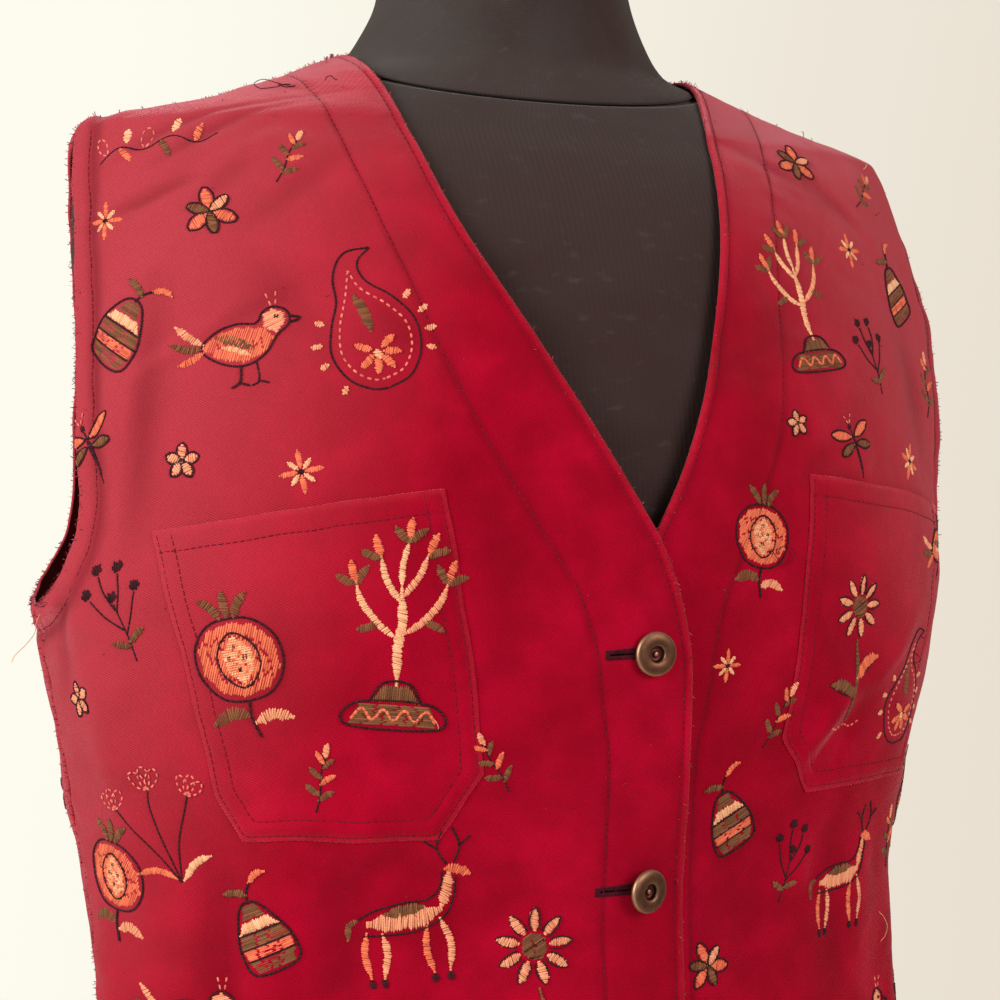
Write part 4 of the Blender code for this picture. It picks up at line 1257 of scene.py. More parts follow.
for number, height in enumerate(button_heights, 1):
    tall = np.array([height])
    base, square = vest_face(at_place(closure_x(tall) - BUTTON_SHIFT, tall), tall)
    out = Vector(square[0]).normalized()
    seat = Vector(base[0]) + out * (LAP_LIFT + WALL)
    across = out.cross(Vector((0.0, 0.0, 1.0))).normalized()
    if across.x < 0.0:
        across.negate()
    tilt = math.radians(BUTTON_TURN[number - 1])
    stand_off = REST_GAP + BUTTON_RADIUS * abs(math.sin(tilt)) + 0.0004
    face = (out * math.cos(tilt) + across * math.sin(tilt)).normalized()
    side = Vector((0.0, 0.0, 1.0)).cross(face).normalized()
    profile = [(share * BUTTON_RADIUS, z) for share, z, _ in BUTTON_PROFILE]
    button = turned("button_%d_brass" % number, profile, BUTTON_SIDES, 0.0002, 0.00222)
    spin = number * 1.3
    turn = Matrix((side, face.cross(side), face)).transposed().to_4x4() @ Matrix.Rotation(spin, 4, 'Z')
    button.data.transform(Matrix.Translation(seat + out * stand_off) @ turn)
    rub = button.data.attributes.new("rubbed_bright", 'FLOAT', 'POINT')
    values = [row[2] for row in BUTTON_PROFILE for _ in range(BUTTON_SIDES)] + [0.0, 0.8]
    rub.data.foreach_set("value", np.array(values, np.float32))
    button.data.materials.append(aged_brass)
    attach(button, "root")
    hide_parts("button_%d" % number)

    foot = REST_GAP - LAP_LIFT
    top = stand_off - 0.0004 - 0.0009 * abs(math.tan(tilt))
    wraps = 14
    profile = []
    for ring in range(wraps * 4 + 1):
        share = ring / (wraps * 4)
        profile.append((0.00072 + 0.00014 * math.cos(share * wraps * math.tau),
            foot + (top - foot) * share))
    shank = turned("button_shank_%d" % number, profile, 16, foot - 0.00005, top + 0.00005)
    upright = Matrix((across, out.cross(across), out)).transposed().to_4x4()
    shank.data.transform(Matrix.Translation(seat) @ upright)
    shank.data.materials.append(maroon_thread)
    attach(shank, "root")
    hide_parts("button_thread_%d" % number)


# Embroidery: plants, birds, deer and paisleys in spun cotton, worked by machine before the panels
# were cut, so some motifs run off the edges. Leaves and bodies are satin stitch, outlines are stem
# stitch, and the fine drawing is running stitch. The charts are in millimetres, and the motifs are
# designed for this vest.
THREADS = ("peach", "coral", "olive", "dark", "pink", "sand")
embroidery_threads = [
    thread_finish("peach_thread", (0.5, 0.165, 0.08), (0.76, 0.33, 0.19), 0.5, 0.1),
    thread_finish("coral_thread", (0.46, 0.075, 0.035), (0.74, 0.18, 0.085), 0.5, 0.1),
    thread_finish("olive_thread", (0.09, 0.03, 0.012), (0.215, 0.085, 0.034), 0.56, 0.08),
    thread_finish("dark_thread", (0.01, 0.001, 0.003), (0.045, 0.006, 0.01), 0.6, 0.05),
    thread_finish("pink_thread", (0.44, 0.07, 0.06), (0.72, 0.19, 0.14), 0.52, 0.1),
    thread_finish("sand_thread", (0.52, 0.23, 0.11), (0.8, 0.44, 0.25), 0.5, 0.1),
]


def around(strokes, turns, reach=0.0):
    """The same strokes turned to several directions, moved out from the middle."""
    made = []
    for degrees in turns:
        c, s = math.cos(math.radians(degrees)), math.sin(math.radians(degrees))
        for kind, thread, size, points in strokes:
            moved = tuple((c * (u + reach) - s * v, s * (u + reach) + c * v) for u, v in points)
            made.append((kind, thread, size + degrees if kind == "block" else size, moved))
    return made


def placed(strokes, u, v, degrees=0.0, scale=1.0):
    """Strokes turned, scaled and moved within a chart."""
    turned_strokes = around(strokes, (degrees,))
    return [(kind, thread, size if kind == "block" else size * scale,
             tuple((u + x * scale, v + y * scale) for x, y in points))
            for kind, thread, size, points in turned_strokes]


def leaf(thread, length, width):
    return [("satin", thread, width, ((0.0, 0.0), (length * 0.5, width * 0.1), (length, 0.0)))]


def outlined_petal(thread, length, width):
    half = width * 0.62
    return [("satin", thread, width, ((length * 0.08, 0.0), (length * 0.55, 0.0), (length * 0.95, 0.0))),
            ("stem", "dark", .8, ((.0, .0), (length * .3, half * .8), (length * .68, half),
                                   (length * 1.04, .0), (length * .68, -half), (length * .3, -half * .8),
                                   (.0, .0)))]


def drawn_petal(length, width):
    half = width * 0.5
    return [("run", "pink", 0.7, ((0.0, 0.0), (length * 0.35, half), (length * 0.8, half * 0.8),
                                  (length, .0), (length * .7, -half), (length * .25, -half * .7),
                                  (.0, .0)))]


BLOSSOM = (around(outlined_petal("coral", 11, 4.6), (90, 210, 330))
           + around(outlined_petal("olive", 9.5, 3.8), (150, 270))
           + around(outlined_petal("peach", 9.5, 3.8), (30,))
           + [("satin", "sand", 2.6, ((-1.6, -.6), (0, .4), (1.8, .2)))])
SMALL_BLOSSOM = (around(outlined_petal("peach", 6.4, 3.4), (18, 90, 162, 234, 306))
                 + [("satin", "dark", 1.8, ((-.9, 0), (.9, 0)))])
SPRIG = ([("stem", "dark", 0.8, ((0, -17), (0.8, -8), (-0.4, 2), (0.6, 11)))]
         + placed(leaf("olive", 8.5, 3.4), .4, -11, 38) + placed(leaf("olive", 8.5, 3.4), .3, -8.5, 146)
         + placed(leaf("coral", 8, 3.2), .2, -3, 40) + placed(leaf("olive", 7.6, 3), 0, 0, 142)
         + placed(leaf("olive", 6.8, 2.8), .2, 5, 48) + placed(leaf("coral", 6.4, 2.6), .3, 7.5, 130)
         + placed(leaf("peach", 7, 3), .6, 10.5, 88))
BERRIES = ([("stem", "dark", 0.8, ((0, -20), (0.6, -10), (0, 4))),
            ("stem", "dark", .8, ((.4, -9), (6, -2), (11, 6))),
            ("stem", "dark", .8, ((.2, -7), (-6, 0), (-10, 8))),
            ("stem", "dark", .8, ((0, 0), (4, 8), (5, 15))),
            ("stem", "dark", .8, ((0, 1), (-3, 9), (-3.5, 16)))]
           + [("satin", "dark", 4.4, ((u - 2, v), (u, v + .3), (u + 2, v)))
              for u, v in ((0.2, 6.4), (11.6, 8), (-10.6, 10.2), (5.4, 17.4), (-3.8, 18.2))]
           + placed(leaf("olive", 9, 3), .5, -12, 24) + placed(leaf("olive", 8, 3), .4, -13.5, 158))
BIRD = (
    ("block", "coral", 65, ((-15, 1), (-9, 6), (-1, 8), (8, 7), (12, 3), (8, -3), (0, -6.5), (-9, -4))),
    ("block", "peach", 20, ((7.5, 6), (8, 11), (12, 13.5), (16.5, 11.5), (16.5, 7.5), (12.5, 4))),
    ("satin", "olive", 4.2, ((-9, 4.5), (-3, 2.5), (4.5, -1.5))),
    ("satin", "sand", 2.4, ((-7, .5), (-2, -1), (3, -3.6))),
    ("satin", "peach", 3.2, ((-14, 2.5), (-19, 6), (-24, 11))),
    ("satin", "olive", 3.2, ((-15, 1), (-20, 1.5), (-26, 4))),
    ("satin", "coral", 3, ((-14, -.5), (-20, -3), (-24, -4))),
    ("stem", "dark", .8, ((-15, 1), (-9, 6.6), (-1, 8.7), (6, 8), (8, 12), (12, 14.2), (17, 12),
        (17.4, 7),
                           (13, 3.2), (8, -3.6), (0, -7.1), (-9, -4.8), (-15, 1))),
    ("stem", "dark", 1, ((17.4, 10), (22, 8.4), (17.4, 7.4))),
    ("satin", "dark", 1.6, ((12.6, 10.2), (14, 10.2))),
    ("stem", "dark", .9, ((-1, -6.6), (-2, -13), (-5.5, -14.4))),
    ("stem", "dark", .9, ((-2, -13), (1.5, -14.4))),
    ("stem", "dark", .9, ((4.5, -5.2), (5, -13), (1.8, -14.4))),
    ("stem", "dark", .9, ((5, -13), (8.6, -14.2))),
    ("run", "pink", .7, ((11.5, 14.5), (10, 19.5))), ("run", "pink", .7, ((13.2, 14.8), (14, 20.5))),
)
DEER = (
    ("satin", "peach", 8, ((-15, 2), (-6, 2.6), (5, 3.2), (12, 5.5))),
    ("satin", "peach", 4.6, ((12, 6), (15, 12.5), (16.4, 18))),
    ("satin", "coral", 4, ((15, 19.4), (19, 19), (24, 16.4))),
    ("satin", "coral", 2.8, ((-15.5, -1), (-17, -9), (-15.5, -18))),
    ("satin", "peach", 2.8, ((-10, -1.5), (-9, -9), (-11, -18))),
    ("satin", "coral", 2.8, ((6, -.5), (5, -9), (7, -18))),
    ("satin", "peach", 2.8, ((11, 2), (14, -8), (12.6, -18))),
    ("satin", "dark", 3, ((-15.5, -18.5), (-15.5, -21.5))),
    ("satin", "dark", 3, ((-11, -18.5), (-11, -21.5))),
    ("satin", "dark", 3, ((7, -18.5), (7, -21.5))), ("satin", "dark", 3, ((12.6, -18.5), (12.6, -21.5))),
    ("satin", "olive", 4.4, ((-8, 5.6), (-1, 6.4), (6, 7))),
    ("satin", "olive", 2.6, ((-18, 4), (-21.5, 2), (-22.5, -3.5))),
    ("stem", "dark", .9, ((16, 21), (13, 27), (15.5, 34))), ("stem", "dark", .9, ((13.2, 27), (8.4, 31))),
    ("stem", "dark", .9, ((18.4, 21.4), (21.4, 27.6), (19.4, 34.6))),
    ("stem", "dark", .9, ((21.2, 27.4), (26, 30.6))),
    ("stem", "dark", .8, ((-18.4, 4), (-12, 7), (-2, 9), (8, 9.4), (13, 14), (14, 19))),
    ("stem", "dark", .8, ((-17, -2), (-6, -2.2), (4, -1.4), (13.6, 3), (17.6, 11), (18.6, 16.4))),
)
PAISLEY = (
    [("stem", "dark", .9, ((-1, -27), (9, -24), (16, -14), (17, -2), (11, 9), (3, 18), (2, 26), (9, 31))),
     ("stem", "dark", .9, ((9, 31), (-2, 31), (-9, 23), (-11, 12), (-16, 2), (-19, -9), (-15, -20),
         (-7, -26), (-1, -27))),
     ("run", "pink", .8, ((-1, -23), (7, -20.5), (12.6, -12.6), (13.4, -2.8), (8, 6.4), (0, 15.4),
         (-2.4, 24))),
     ("run", "pink", .8, ((-2.4, 24), (-7, 13), (-12.4, 2), (-15, -9), (-11.6, -17.6), (-5.6, -22.4),
         (-1, -23))),
     ("satin", "olive", 4.6, ((-1.4, -3), (-1.6, 5), (-3.4, 14))),
     ("satin", "sand", 3.6, ((-1.2, -14.5), (-1.2, -10.5)))]
    + placed(around(leaf("coral", 6.8, 3.3), (-150, -105, -60, -15, 30, 150), 2.6), -1.2, -11.5)
    + [("satin", "peach", 2.6, ((u, v), (u + du, v + dv))) for u, v, du, dv in (
        (18.6, -14, 3.4, -2), (20, -7, 4, -.4), (19.4, .5, 3.8, 1.4), (15.4, 7.4, 3.4, 2.4),
        (-18.6, 4.4, -3.2, 2.2), (-21.6, -4, -4, .6), (-21.4, -12, -3.8, -1.2),
        (-16.6, -22.6, -2.8, -2.8))])
GOURD = (
    ("block", "olive", 0, ((-9, -18), (9, -18), (11, -12.6), (-11, -12.6))),
    ("block", "coral", 0, ((-11, -12), (11, -12), (11.6, -7.6), (-11.6, -7.6))),
    ("block", "olive", 0, ((-11.6, -7), (11.6, -7), (10, -1.6), (-10, -1.6))),
    ("block", "sand", 90, ((-9.6, -1), (9.6, -1), (6, 4), (-6, 4))),
    ("block", "olive", 0, ((-5.4, 4.6), (5.4, 4.6), (3.6, 9.6), (-3.6, 9.6))),
    ("stem", "dark", 1, ((-9.4, -18.6), (9.4, -18.6), (12.2, -10), (10.4, -1.2), (4, 10.2), (-4, 10.2),
        (-10.4, -1.2),
                           (-12.2, -10), (-9.4, -18.6))),
    ("stem", "dark", .8, ((-11.4, -12.3), (11.4, -12.3))),
    ("stem", "dark", .8, ((-12, -7.3), (12, -7.3))),
    ("stem", "dark", .8, ((-10, -1.3), (10, -1.3))),
    ("stem", "dark", .9, ((0, 10.4), (1.6, 15), (5, 18.6))),
    ("satin", "olive", 3.4, ((1.4, 14), (-3.4, 16.6), (-8.4, 17.6))),
    ("satin", "coral", 3, ((4.6, 18.4), (9.6, 21), (13.8, 20.4))),
)
STAR = (around([("satin", "coral", 2.6, ((1.8, 0), (9.4, 0)))], (0, 90, 180, 270))
        + around([("satin", "sand", 2.2, ((1.8, 0), (7, 0)))], (45, 135, 225, 315))
        + [("satin", "dark", 2.2, ((-1, 0), (1, 0)))])
BELLS = ([("stem", "dark", 0.8, ((4, -27), (-4, -12), (-14, 2), (-19, 10))),
          ("stem", "dark", .8, ((4, -27), (1, -8), (-1, 8), (0, 17))),
          ("stem", "dark", .8, ((4, -27), (8, -10), (15, 4), (19, 12))),
          ("satin", "sand", 3.6, ((5.6, -26), (13, -19), (22, -16.6))),
          ("satin", "coral", 3.4, ((2.6, -25), (-6, -20), (-16, -20.4)))]
         + placed(around(drawn_petal(10, 5), (60, 95, 130)), -19, 10)
         + placed(around(drawn_petal(11, 5.4), (55, 90, 125)), 0, 17)
         + placed(around(drawn_petal(10, 5), (30, 65, 100)), 19, 12))
TREE = ([("satin", "sand", 4.2, ((0, -27), (-0.8, -14), (0.8, -2), (0, 10))),
         ("satin", "sand", 3, ((0, -10), (-8, -4), (-14.5, 4), (-17, 11))),
         ("satin", "peach", 3, ((.4, -8), (8.6, -2), (15, 6), (17.6, 13.6))),
         ("satin", "sand", 2.8, ((.4, 4), (-5.6, 12), (-9, 21))),
         ("satin", "peach", 2.8, ((.2, 6), (6, 14.4), (8.8, 23.4))),
         ("satin", "sand", 2.6, ((0, 10), (-.4, 19), (.8, 28))),
         ("block", "olive", 0, ((-17, -42), (17, -42), (13.4, -34), (-13.4, -34))),
         ("block", "olive", 90, ((-9.4, -33.4), (9.4, -33.4), (4.6, -26.6), (-4.6, -26.6))),
         ("stem", "coral", 1.2, ((-16, -40.6), (-12, -35.6), (-8, -40.6), (-4, -35.6), (0, -40.6),
                                 (4, -35.6), (8, -40.6), (12, -35.6), (16, -40.6))),
         ("stem", "dark", .9, ((-17.6, -42.6), (17.6, -42.6), (13.8, -33.6), (-13.8, -33.6),
             (-17.6, -42.6))),
         ("stem", "dark", .9, ((-9.8, -33.4), (-5, -26), (5, -26), (9.8, -33.4)))]
        + [stroke for u, v, d, thread in (
            (-17, 11, 110, "coral"), (-17, 10, 160, "olive"), (-17, 10, 60, "olive"),
            (17.6, 13.6, 75, "coral"), (17.6, 12.6, 22, "olive"), (17.6, 12.6, 125, "olive"),
            (-9, 21, 112, "coral"), (-9, 20, 160, "olive"), (8.8, 23.4, 72, "coral"),
            (8.8, 22.4, 20, "olive"),
            (.8, 28, 90, "coral"), (.8, 27, 42, "olive"), (.8, 27, 138, "olive"),
            (-8.4, -4, 200, "olive"), (9, -2, -24, "olive"))
           for stroke in placed(leaf(thread, 8.4, 3.4), u, v, d)])
SUNFLOWER = (around(leaf("peach", 9, 3.8), range(0, 360, 40), 6.6)
             + around([("stem", "dark", .7, ((6.4, -1.6), (11, -2.4), (16.4, 0), (11, 2.4), (6.4, 1.6)))],
                      range(0, 360, 40))
             + [("block", "olive", 25, tuple((5.6 * math.cos(math.radians(a)),
                 5.6 * math.sin(math.radians(a)))
                                               for a in range(0, 360, 30))),
                ("stem", "dark", .8, ((-4.6, -1.6), (4.6, 2.4))),
                ("stem", "dark", .8, ((-2.6, -4.4), (2.8, -4))),
                ("satin", "olive", 2.6, ((0, -17), (1.4, -30), (-.4, -46), (.4, -58))),
                ("satin", "coral", 6, ((.6, -36), (9, -29), (17, -27))),
                ("satin", "olive", 6, ((-.2, -45), (-9, -38), (-17.4, -37))),
                ("stem", "dark", .8, ((.6, -36), (9, -33.4), (17.6, -27))),
                ("stem", "dark", .8, ((-.2, -45), (-9.4, -42.4), (-18, -37))),
                ("run", "pink", .8, ((-13, -59), (-6, -61.6), (0, -59.6), (6, -61.8), (13, -59.2)))])
POMEGRANATE = (
    ("block", "coral", 62, ((0, -13), (8, -11), (13.4, -4), (13.4, 5), (8, 11.4), (0, 13), (-8, 11.4),
        (-13.4, 5),
                              (-13.4, -4), (-8, -11))),
    ("block", "sand", 0, ((0, -8.6), (5.4, -4), (5.6, 3.4), (0, 8.4), (-5.6, 3.4), (-5.4, -4))),
    ("satin", "dark", 1.8, ((-.8, 4.6), (.8, 4.6))), ("satin", "dark", 1.8, ((-3.6, .8), (-2, .8))),
    ("satin", "dark", 1.8, ((2, .8), (3.6, .8))), ("satin", "dark", 1.8, ((-.8, -3.4), (.8, -3.4))),
    ("stem", "dark", .9, ((0, -14), (8.8, -12), (14.4, -4), (14.2, 6), (8, 12.6), (0, 14), (-8, 12.6),
        (-14.2, 6),
                           (-14.4, -4), (-8.8, -12), (0, -14))),
    ("stem", "dark", .8, ((0, -9.6), (6.4, -4.2), (6.6, 3.8), (0, 9.4), (-6.6, 3.8), (-6.4, -4.2),
        (0, -9.6))),
    ("satin", "olive", 3.4, ((-2.4, 14), (-4.4, 18), (-8.4, 21.4))),
    ("satin", "olive", 3.4, ((0, 14.4), (.2, 23.6))),
    ("satin", "olive", 3.4, ((2.4, 14), (4.4, 18), (8.4, 21.4))),
    ("stem", "dark", 1, ((0, -14), (-.8, -20), (1, -27))),
    ("satin", "olive", 5, ((-.8, -19.6), (-7, -17.6), (-14.6, -20.6))),
    ("satin", "peach", 4.4, ((.2, -22), (6.4, -20), (13.4, -22.6))),
)
DRAGONFLY = ([("satin", "dark", 2.2, ((0, -15), (0.4, -4), (0, 9))),
              ("satin", "dark", 3.4, ((-.9, 11), (.9, 11)))]
             + placed(outlined_petal("coral", 15, 4.4), .8, 6,
                 18) + placed(outlined_petal("coral", 15, 4.4), -.8, 6, 162)
             + placed(outlined_petal("olive", 12, 3.8), .8, 2.6,
                 -16) + placed(outlined_petal("olive", 12, 3.8), -.8, 2.6, 196)
             + [("run", "pink", .7, ((.5, 13), (3.5, 18))), ("run", "pink", .7, ((-.5, 13), (-3.5, 18)))])
VINE = ([("stem", "dark", 0.8, ((-24, -3), (-14, 2.4), (-4, -1), (7, 3), (17, -1), (25, 2))),
         ("satin", "sand", 3.8, ((-11, 4), (-9.4, 10))), ("satin", "sand", 3.4, ((8, 5.4), (10.6, 11)))]
        + placed(drawn_petal(9, 4.4), -20, 0, 110) + placed(drawn_petal(9, 4.4), -4, 0, 68)
        + placed(leaf("coral", 7.6, 3), -14, 1.6, -60) + placed(leaf("olive", 7.6, 3), 3, 1.4, -70)
        + placed(leaf("coral", 7.6, 3), 16, 0, 64))
CHARTS = {
    "blossom": BLOSSOM, "small_blossom": SMALL_BLOSSOM, "sprig": SPRIG, "berries": BERRIES, "bird": BIRD,
    "deer": DEER, "paisley": PAISLEY, "gourd": GOURD, "star": STAR, "bells": BELLS, "tree": TREE,
    "sunflower": SUNFLOWER, "pomegranate": POMEGRANATE, "dragonfly": DRAGONFLY, "vine": VINE,
}


def smooth_path(points, step):
    """Even points along a rounded path through the chart's points, with its directions."""
    p = np.array(points, dtype=float)
    if len(p) == 2:
        path = p[0] + (p[1] - p[0]) * np.linspace(0.0, 1.0, 24)[:, None]
    else:
        closed = np.allclose(p[0], p[-1])
        before = p[-2] if closed else 2 * p[0] - p[1]
        after = p[1] if closed else 2 * p[-1] - p[-2]
        ring = np.vstack((before, p, after))
        t = np.linspace(0.0, 1.0, 12)[:, None]
        parts = []
        for a, b, c, d in zip(ring, ring[1:], ring[2:], ring[3:]):
            parts.append(0.5 * (2 * b + (c - a) * t + (2 * a - 5 * b + 4 * c - d) * t**2
                                + (3 * b - a - 3 * c + d) * t**3))
        path = np.vstack(parts)
    run = length_along(path)
    wanted = np.arange(0.0, run[-1], step) if run[-1] > step else np.array([0.0])
    spots = points_at(wanted, run, path, 2)
    ahead = points_at(wanted + 0.3, run, path, 2)
    behind = points_at(wanted - 0.3, run, path, 2)
    way = ahead - behind
    return spots, unit(way), run[-1]


def chart_stitches(strokes, random):
    """Stitches of one chart, flat: start, end, thickness, layer and thread of each."""
    made = []
    for layer, (kind, thread, size, points) in enumerate(strokes):
        if kind == "satin":
            spots, way, length = smooth_path(points, 0.8)
            share = (np.arange(len(spots)) + 0.5) / len(spots)
            width = 0.5 * size * np.clip(np.sin(math.pi * np.clip(share, 0.03, 0.97)) * 1.5, 0.35, 1.0)
            ends = width[:, None] * (1.0 + 0.32 * (random.random((len(spots), 2)) - 0.45))
            square = np.stack((-way[:, 1], way[:, 0]), 1)
            spots = spots + way * 0.3 * (random.random((len(spots), 1)) - 0.5)
            slant = square + way * (0.22 + 0.16 * (random.random((len(spots), 1)) - 0.5))
            made += [(*a, *b, 0.76, layer, thread) for a,
                b in zip(spots - slant * ends[:, :1], spots + slant * ends[:, 1:])]
        elif kind == "block":
            p = np.array(points, dtype=float)
            turn = math.radians(size)
            along, across = np.array((math.cos(turn), math.sin(turn))), np.array((-math.sin(turn),
                math.cos(turn)))
            level, reach = p @ across, p @ along
            for row in np.arange(level.min() + 0.3, level.max(), 0.78):
                cuts = []
                for k in range(len(p)):
                    a, b = level[k] - row, level[(k + 1) % len(p)] - row
                    if a * b < 0.0:
                        cuts.append(reach[k] + (reach[(k + 1) % len(p)] - reach[k]) * a / (a - b))
                cuts.sort()
                for low, high in zip(cuts[::2], cuts[1::2]):
                    pieces = max(1, int(round((high - low) / 6.5)))
                    marks = np.linspace(low, high, pieces + 1)
                    marks += np.where((marks > low) & (marks < high), 4.4,
                        0.9) * (random.random(pieces + 1) - 0.5)
                    for a, b in zip(marks, marks[1:]):
                        drift = row + 0.22 * (random.random(2) - 0.5)
                        made.append((*(along * a + across * drift[0]), *(along * b + across * drift[1]),
                            0.8, layer, thread))
        else:
            pitch, length = (2.1, 2.5) if kind == "stem" else (3.1, 2.0)
            spots, way, total = smooth_path(points, 0.2)
            for first in np.arange(0.0, total - 0.6, pitch):
                a, b = int(first / 0.2), min(int((first + length) / 0.2), len(spots) - 1)
                if b > a:
                    made.append((*spots[a], *spots[b], size, layer, thread))
    return made


def embroider(name, layout, cloth, seed):
    """All motifs of one panel, laid on the cloth as one piece."""
    random = np.random.default_rng(seed)
    flat = []
    for chart, angle, height, turn, scale in layout:
        c, s = math.cos(math.radians(turn)), math.sin(math.radians(turn))
        for u0, v0, u1, v1, thick, layer, thread in chart_stitches(CHARTS[chart], random):
            ends = [(scale * (c * u - s * v), scale * (s * u + c * v)) for u, v in ((u0, v0), (u1, v1))]
            flat.append((*ends[0], *ends[1], thick, layer, THREADS.index(thread), math.radians(angle),
                height))
    flat = np.array(flat)
    faces = []
    for k in (0, 2):
        steep = 0.001
        low = section_points(VEST_SECTIONS, flat[:, 7], flat[:, 8] - steep)
        high = section_points(VEST_SECTIONS, flat[:, 7], flat[:, 8] + steep)
        climb = 2 * steep / np.linalg.norm(high - low, axis=1)
        heights = np.clip(flat[:, 8] + flat[:, k + 1] * 0.001 * climb, HEM_Z, NECK_POINT_Z)
        middle = flat[:, 7]
        for _ in range(3):
            half_width = reading(VEST_SECTIONS, heights, 1)
            depth = np.where(np.cos(middle) > 0, reading(VEST_SECTIONS, heights, 2),
                reading(VEST_SECTIONS, heights, 3))
            pace = np.hypot(half_width * np.cos(middle), depth * np.sin(middle))
            angles = flat[:, 7] + flat[:, k] * 0.001 / pace
            middle = 0.5 * (flat[:, 7] + angles)
        base, square = vest_face(angles, heights)
        faces.append((touch_cloth(cloth, base, square), square))
    (starts, ways), (stops, _) = faces
    lengths = np.linalg.norm(stops - starts, axis=1)
    wanted = np.linalg.norm(flat[:, 2:4] - flat[:, 0:2], axis=1) * 0.001
    whole = np.isfinite(lengths) & (lengths < wanted * 1.5 + 0.0006)
    lift = (0.00004 * (flat[:, 5] % 12))[:, None] * ways
    starts, stops, ways, flat = (part[whole] for part in (starts + lift, stops + lift, ways, flat))
    widths = flat[:, 4] * 0.001
    return thread_mesh(name, starts, stops, ways, widths, widths * 0.55, widths * 0.25,
                       embroidery_threads, flat[:, 6])


embroider("right_front_embroidery", RIGHT_MOTIFS, surface_tree(right_front, right_pocket[0]), 21)
embroider("left_front_embroidery", LEFT_MOTIFS, surface_tree(left_front, left_pocket[0]), 22)
embroider("back_embroidery", BACK_MOTIFS, back_tree, 23)


# Loose threads: ends and loops of the embroidery thread that have worked out at the seams, the
# armholes and the edges of some motifs.
# Thread, angle round the body, height, and the path from there: round the body, up, and out, in mm
LOOSE_ENDS = (
    (0, -55.5, .652, ((8, -1, .5), (4, 1, .7), (0, 1.5, 1.8), (-5, 1.5, 3.4), (-8.5, 0, 2.4),
        (-6, -1.4, .8), (0, -1, .9),
                       (4, -.4, 1.4), (6, 1.6, .8), (3, 2.4, .6), (1, .4, 1.2), (5, -1.4, .8),
                       (9, .6, .6))),
    (0, -46.0, .655, ((-2, 0, .3), (-1.4, .2, 1.8), (.6, .4, 2.2), (1.6, .2, .9), (3.4, 0, .4))),
    (1, -86.0, .448, ((1, 1, .5), (0, -1, .9), (-.5, -5, 3), (-1, -9, 4.2), (-2, -13, 8),
        (-2.6, -16.4, 12.6), (-3, -19.4, 14.4))),
    (0, -84.0, .45, ((1.5, 0, .5), (0, .4, .8), (-1.5, .2, 2.0))),
    (0, 52.0, .416, ((-1, 2, .5), (0, 1, 1.4), (1, -.6, 3.0), (.6, -2.4, 2.4), (-.6, -3.0, .7))),
    (0, 53.0, .424, ((-1, 1, .5), (.6, .2, 1.6), (2.0, -1.2, 3.2))),
    (1, 55.0, .297, ((-1, 6.4, .5), (.6, 4, 2.2), (1.4, 0, 3.6), (.8, -4.2, 2.8), (-.4, -7.4, .6))),
    (0, 66.0, .648, ((-2, -1, .4), (0, 0, 1.2), (1.4, 1, 2.6), (2, 2.4, 2.8))),
    (1, 61.0, .634, ((-1, 0, .4), (.4, .6, 1.4), (1.2, 2.0, 2.0), (3.0, 2.6, 1.0))),
    (0, 19.5, .462, ((-6, 3, .5), (-2.4, -1.6, 1.0), (2.6, -3, 1.3), (6, .6, 1.0), (3, 4, .9),
        (-1.4, 3, .8), (-3, 0, .6))),
    (1, -24.0, .404, ((-4, 1, .5), (-1, 3, 1.0), (3, 2, 1.3), (4.6, -2, 1.0), (1, -4, .7), (-2, -7, .5))),
)


def tube_along(path, radius, sides=6):
    """Points and faces of a thin closed tube along a path."""
    ways = np.gradient(path, axis=0)
    ways /= np.linalg.norm(ways, axis=1, keepdims=True)
    level = np.cross(ways, (0.12, 0.31, 0.94))
    level /= np.linalg.norm(level, axis=1, keepdims=True)
    turns = np.arange(sides) * math.tau / sides
    rings = (path[:, None] + radius * (np.cos(turns)[None, :, None] * level[:, None]
                                       + np.sin(turns)[None, :, None] * np.cross(ways, level)[:, None]))
    faces = [tuple(range(sides))[::-1], tuple(range((len(path) - 1) * sides, len(path) * sides))]
    for ring in range(len(path) - 1):
        for i in range(sides):
            j = (i + 1) % sides
            faces.append((ring * sides + i, ring * sides + j, (ring + 1) * sides + j,
                (ring + 1) * sides + i))
    return rings.reshape(-1, 3), faces


points, faces, which = [], [], []
for thread, angle, height, bends in LOOSE_ENDS:
    base, out = vest_face(math.radians(angle), height)
    around_body = np.cross((0.0, 0.0, 1.0), out)
    around_body /= np.linalg.norm(around_body)
    up_body = np.cross(out, around_body)
    bends = np.array(bends) * 0.001
    bends[:, 2] += 0.0016
    spots = base + bends @ np.stack((around_body, up_body, out))
    ring = np.vstack((2 * spots[0] - spots[1], spots, 2 * spots[-1] - spots[-2]))
    t = np.linspace(0.0, 1.0, 7)[:-1, None]
    path = np.vstack([0.5 * (2 * b + (c - a) * t + (2 * a - 5 * b + 4 * c - d) * t**2 + (3 * b - a - 3 * c + d) * t**3)
                      for a, b, c, d in zip(ring, ring[1:], ring[2:], ring[3:])])
    rings, skins = tube_along(path, 0.00016)
    first = sum(len(part) for part in points)
    points.append(rings)
    faces += [tuple(first + v for v in face) for face in skins]
    which += [thread] * len(skins)
loose_threads = new_piece("loose_threads", np.concatenate(points).tolist(), faces)
loose_threads.data.materials.append(maroon_thread)
loose_threads.data.materials.append(embroidery_threads[5])
loose_threads.data.polygons.foreach_set("material_index", which)
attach(loose_threads, "root")


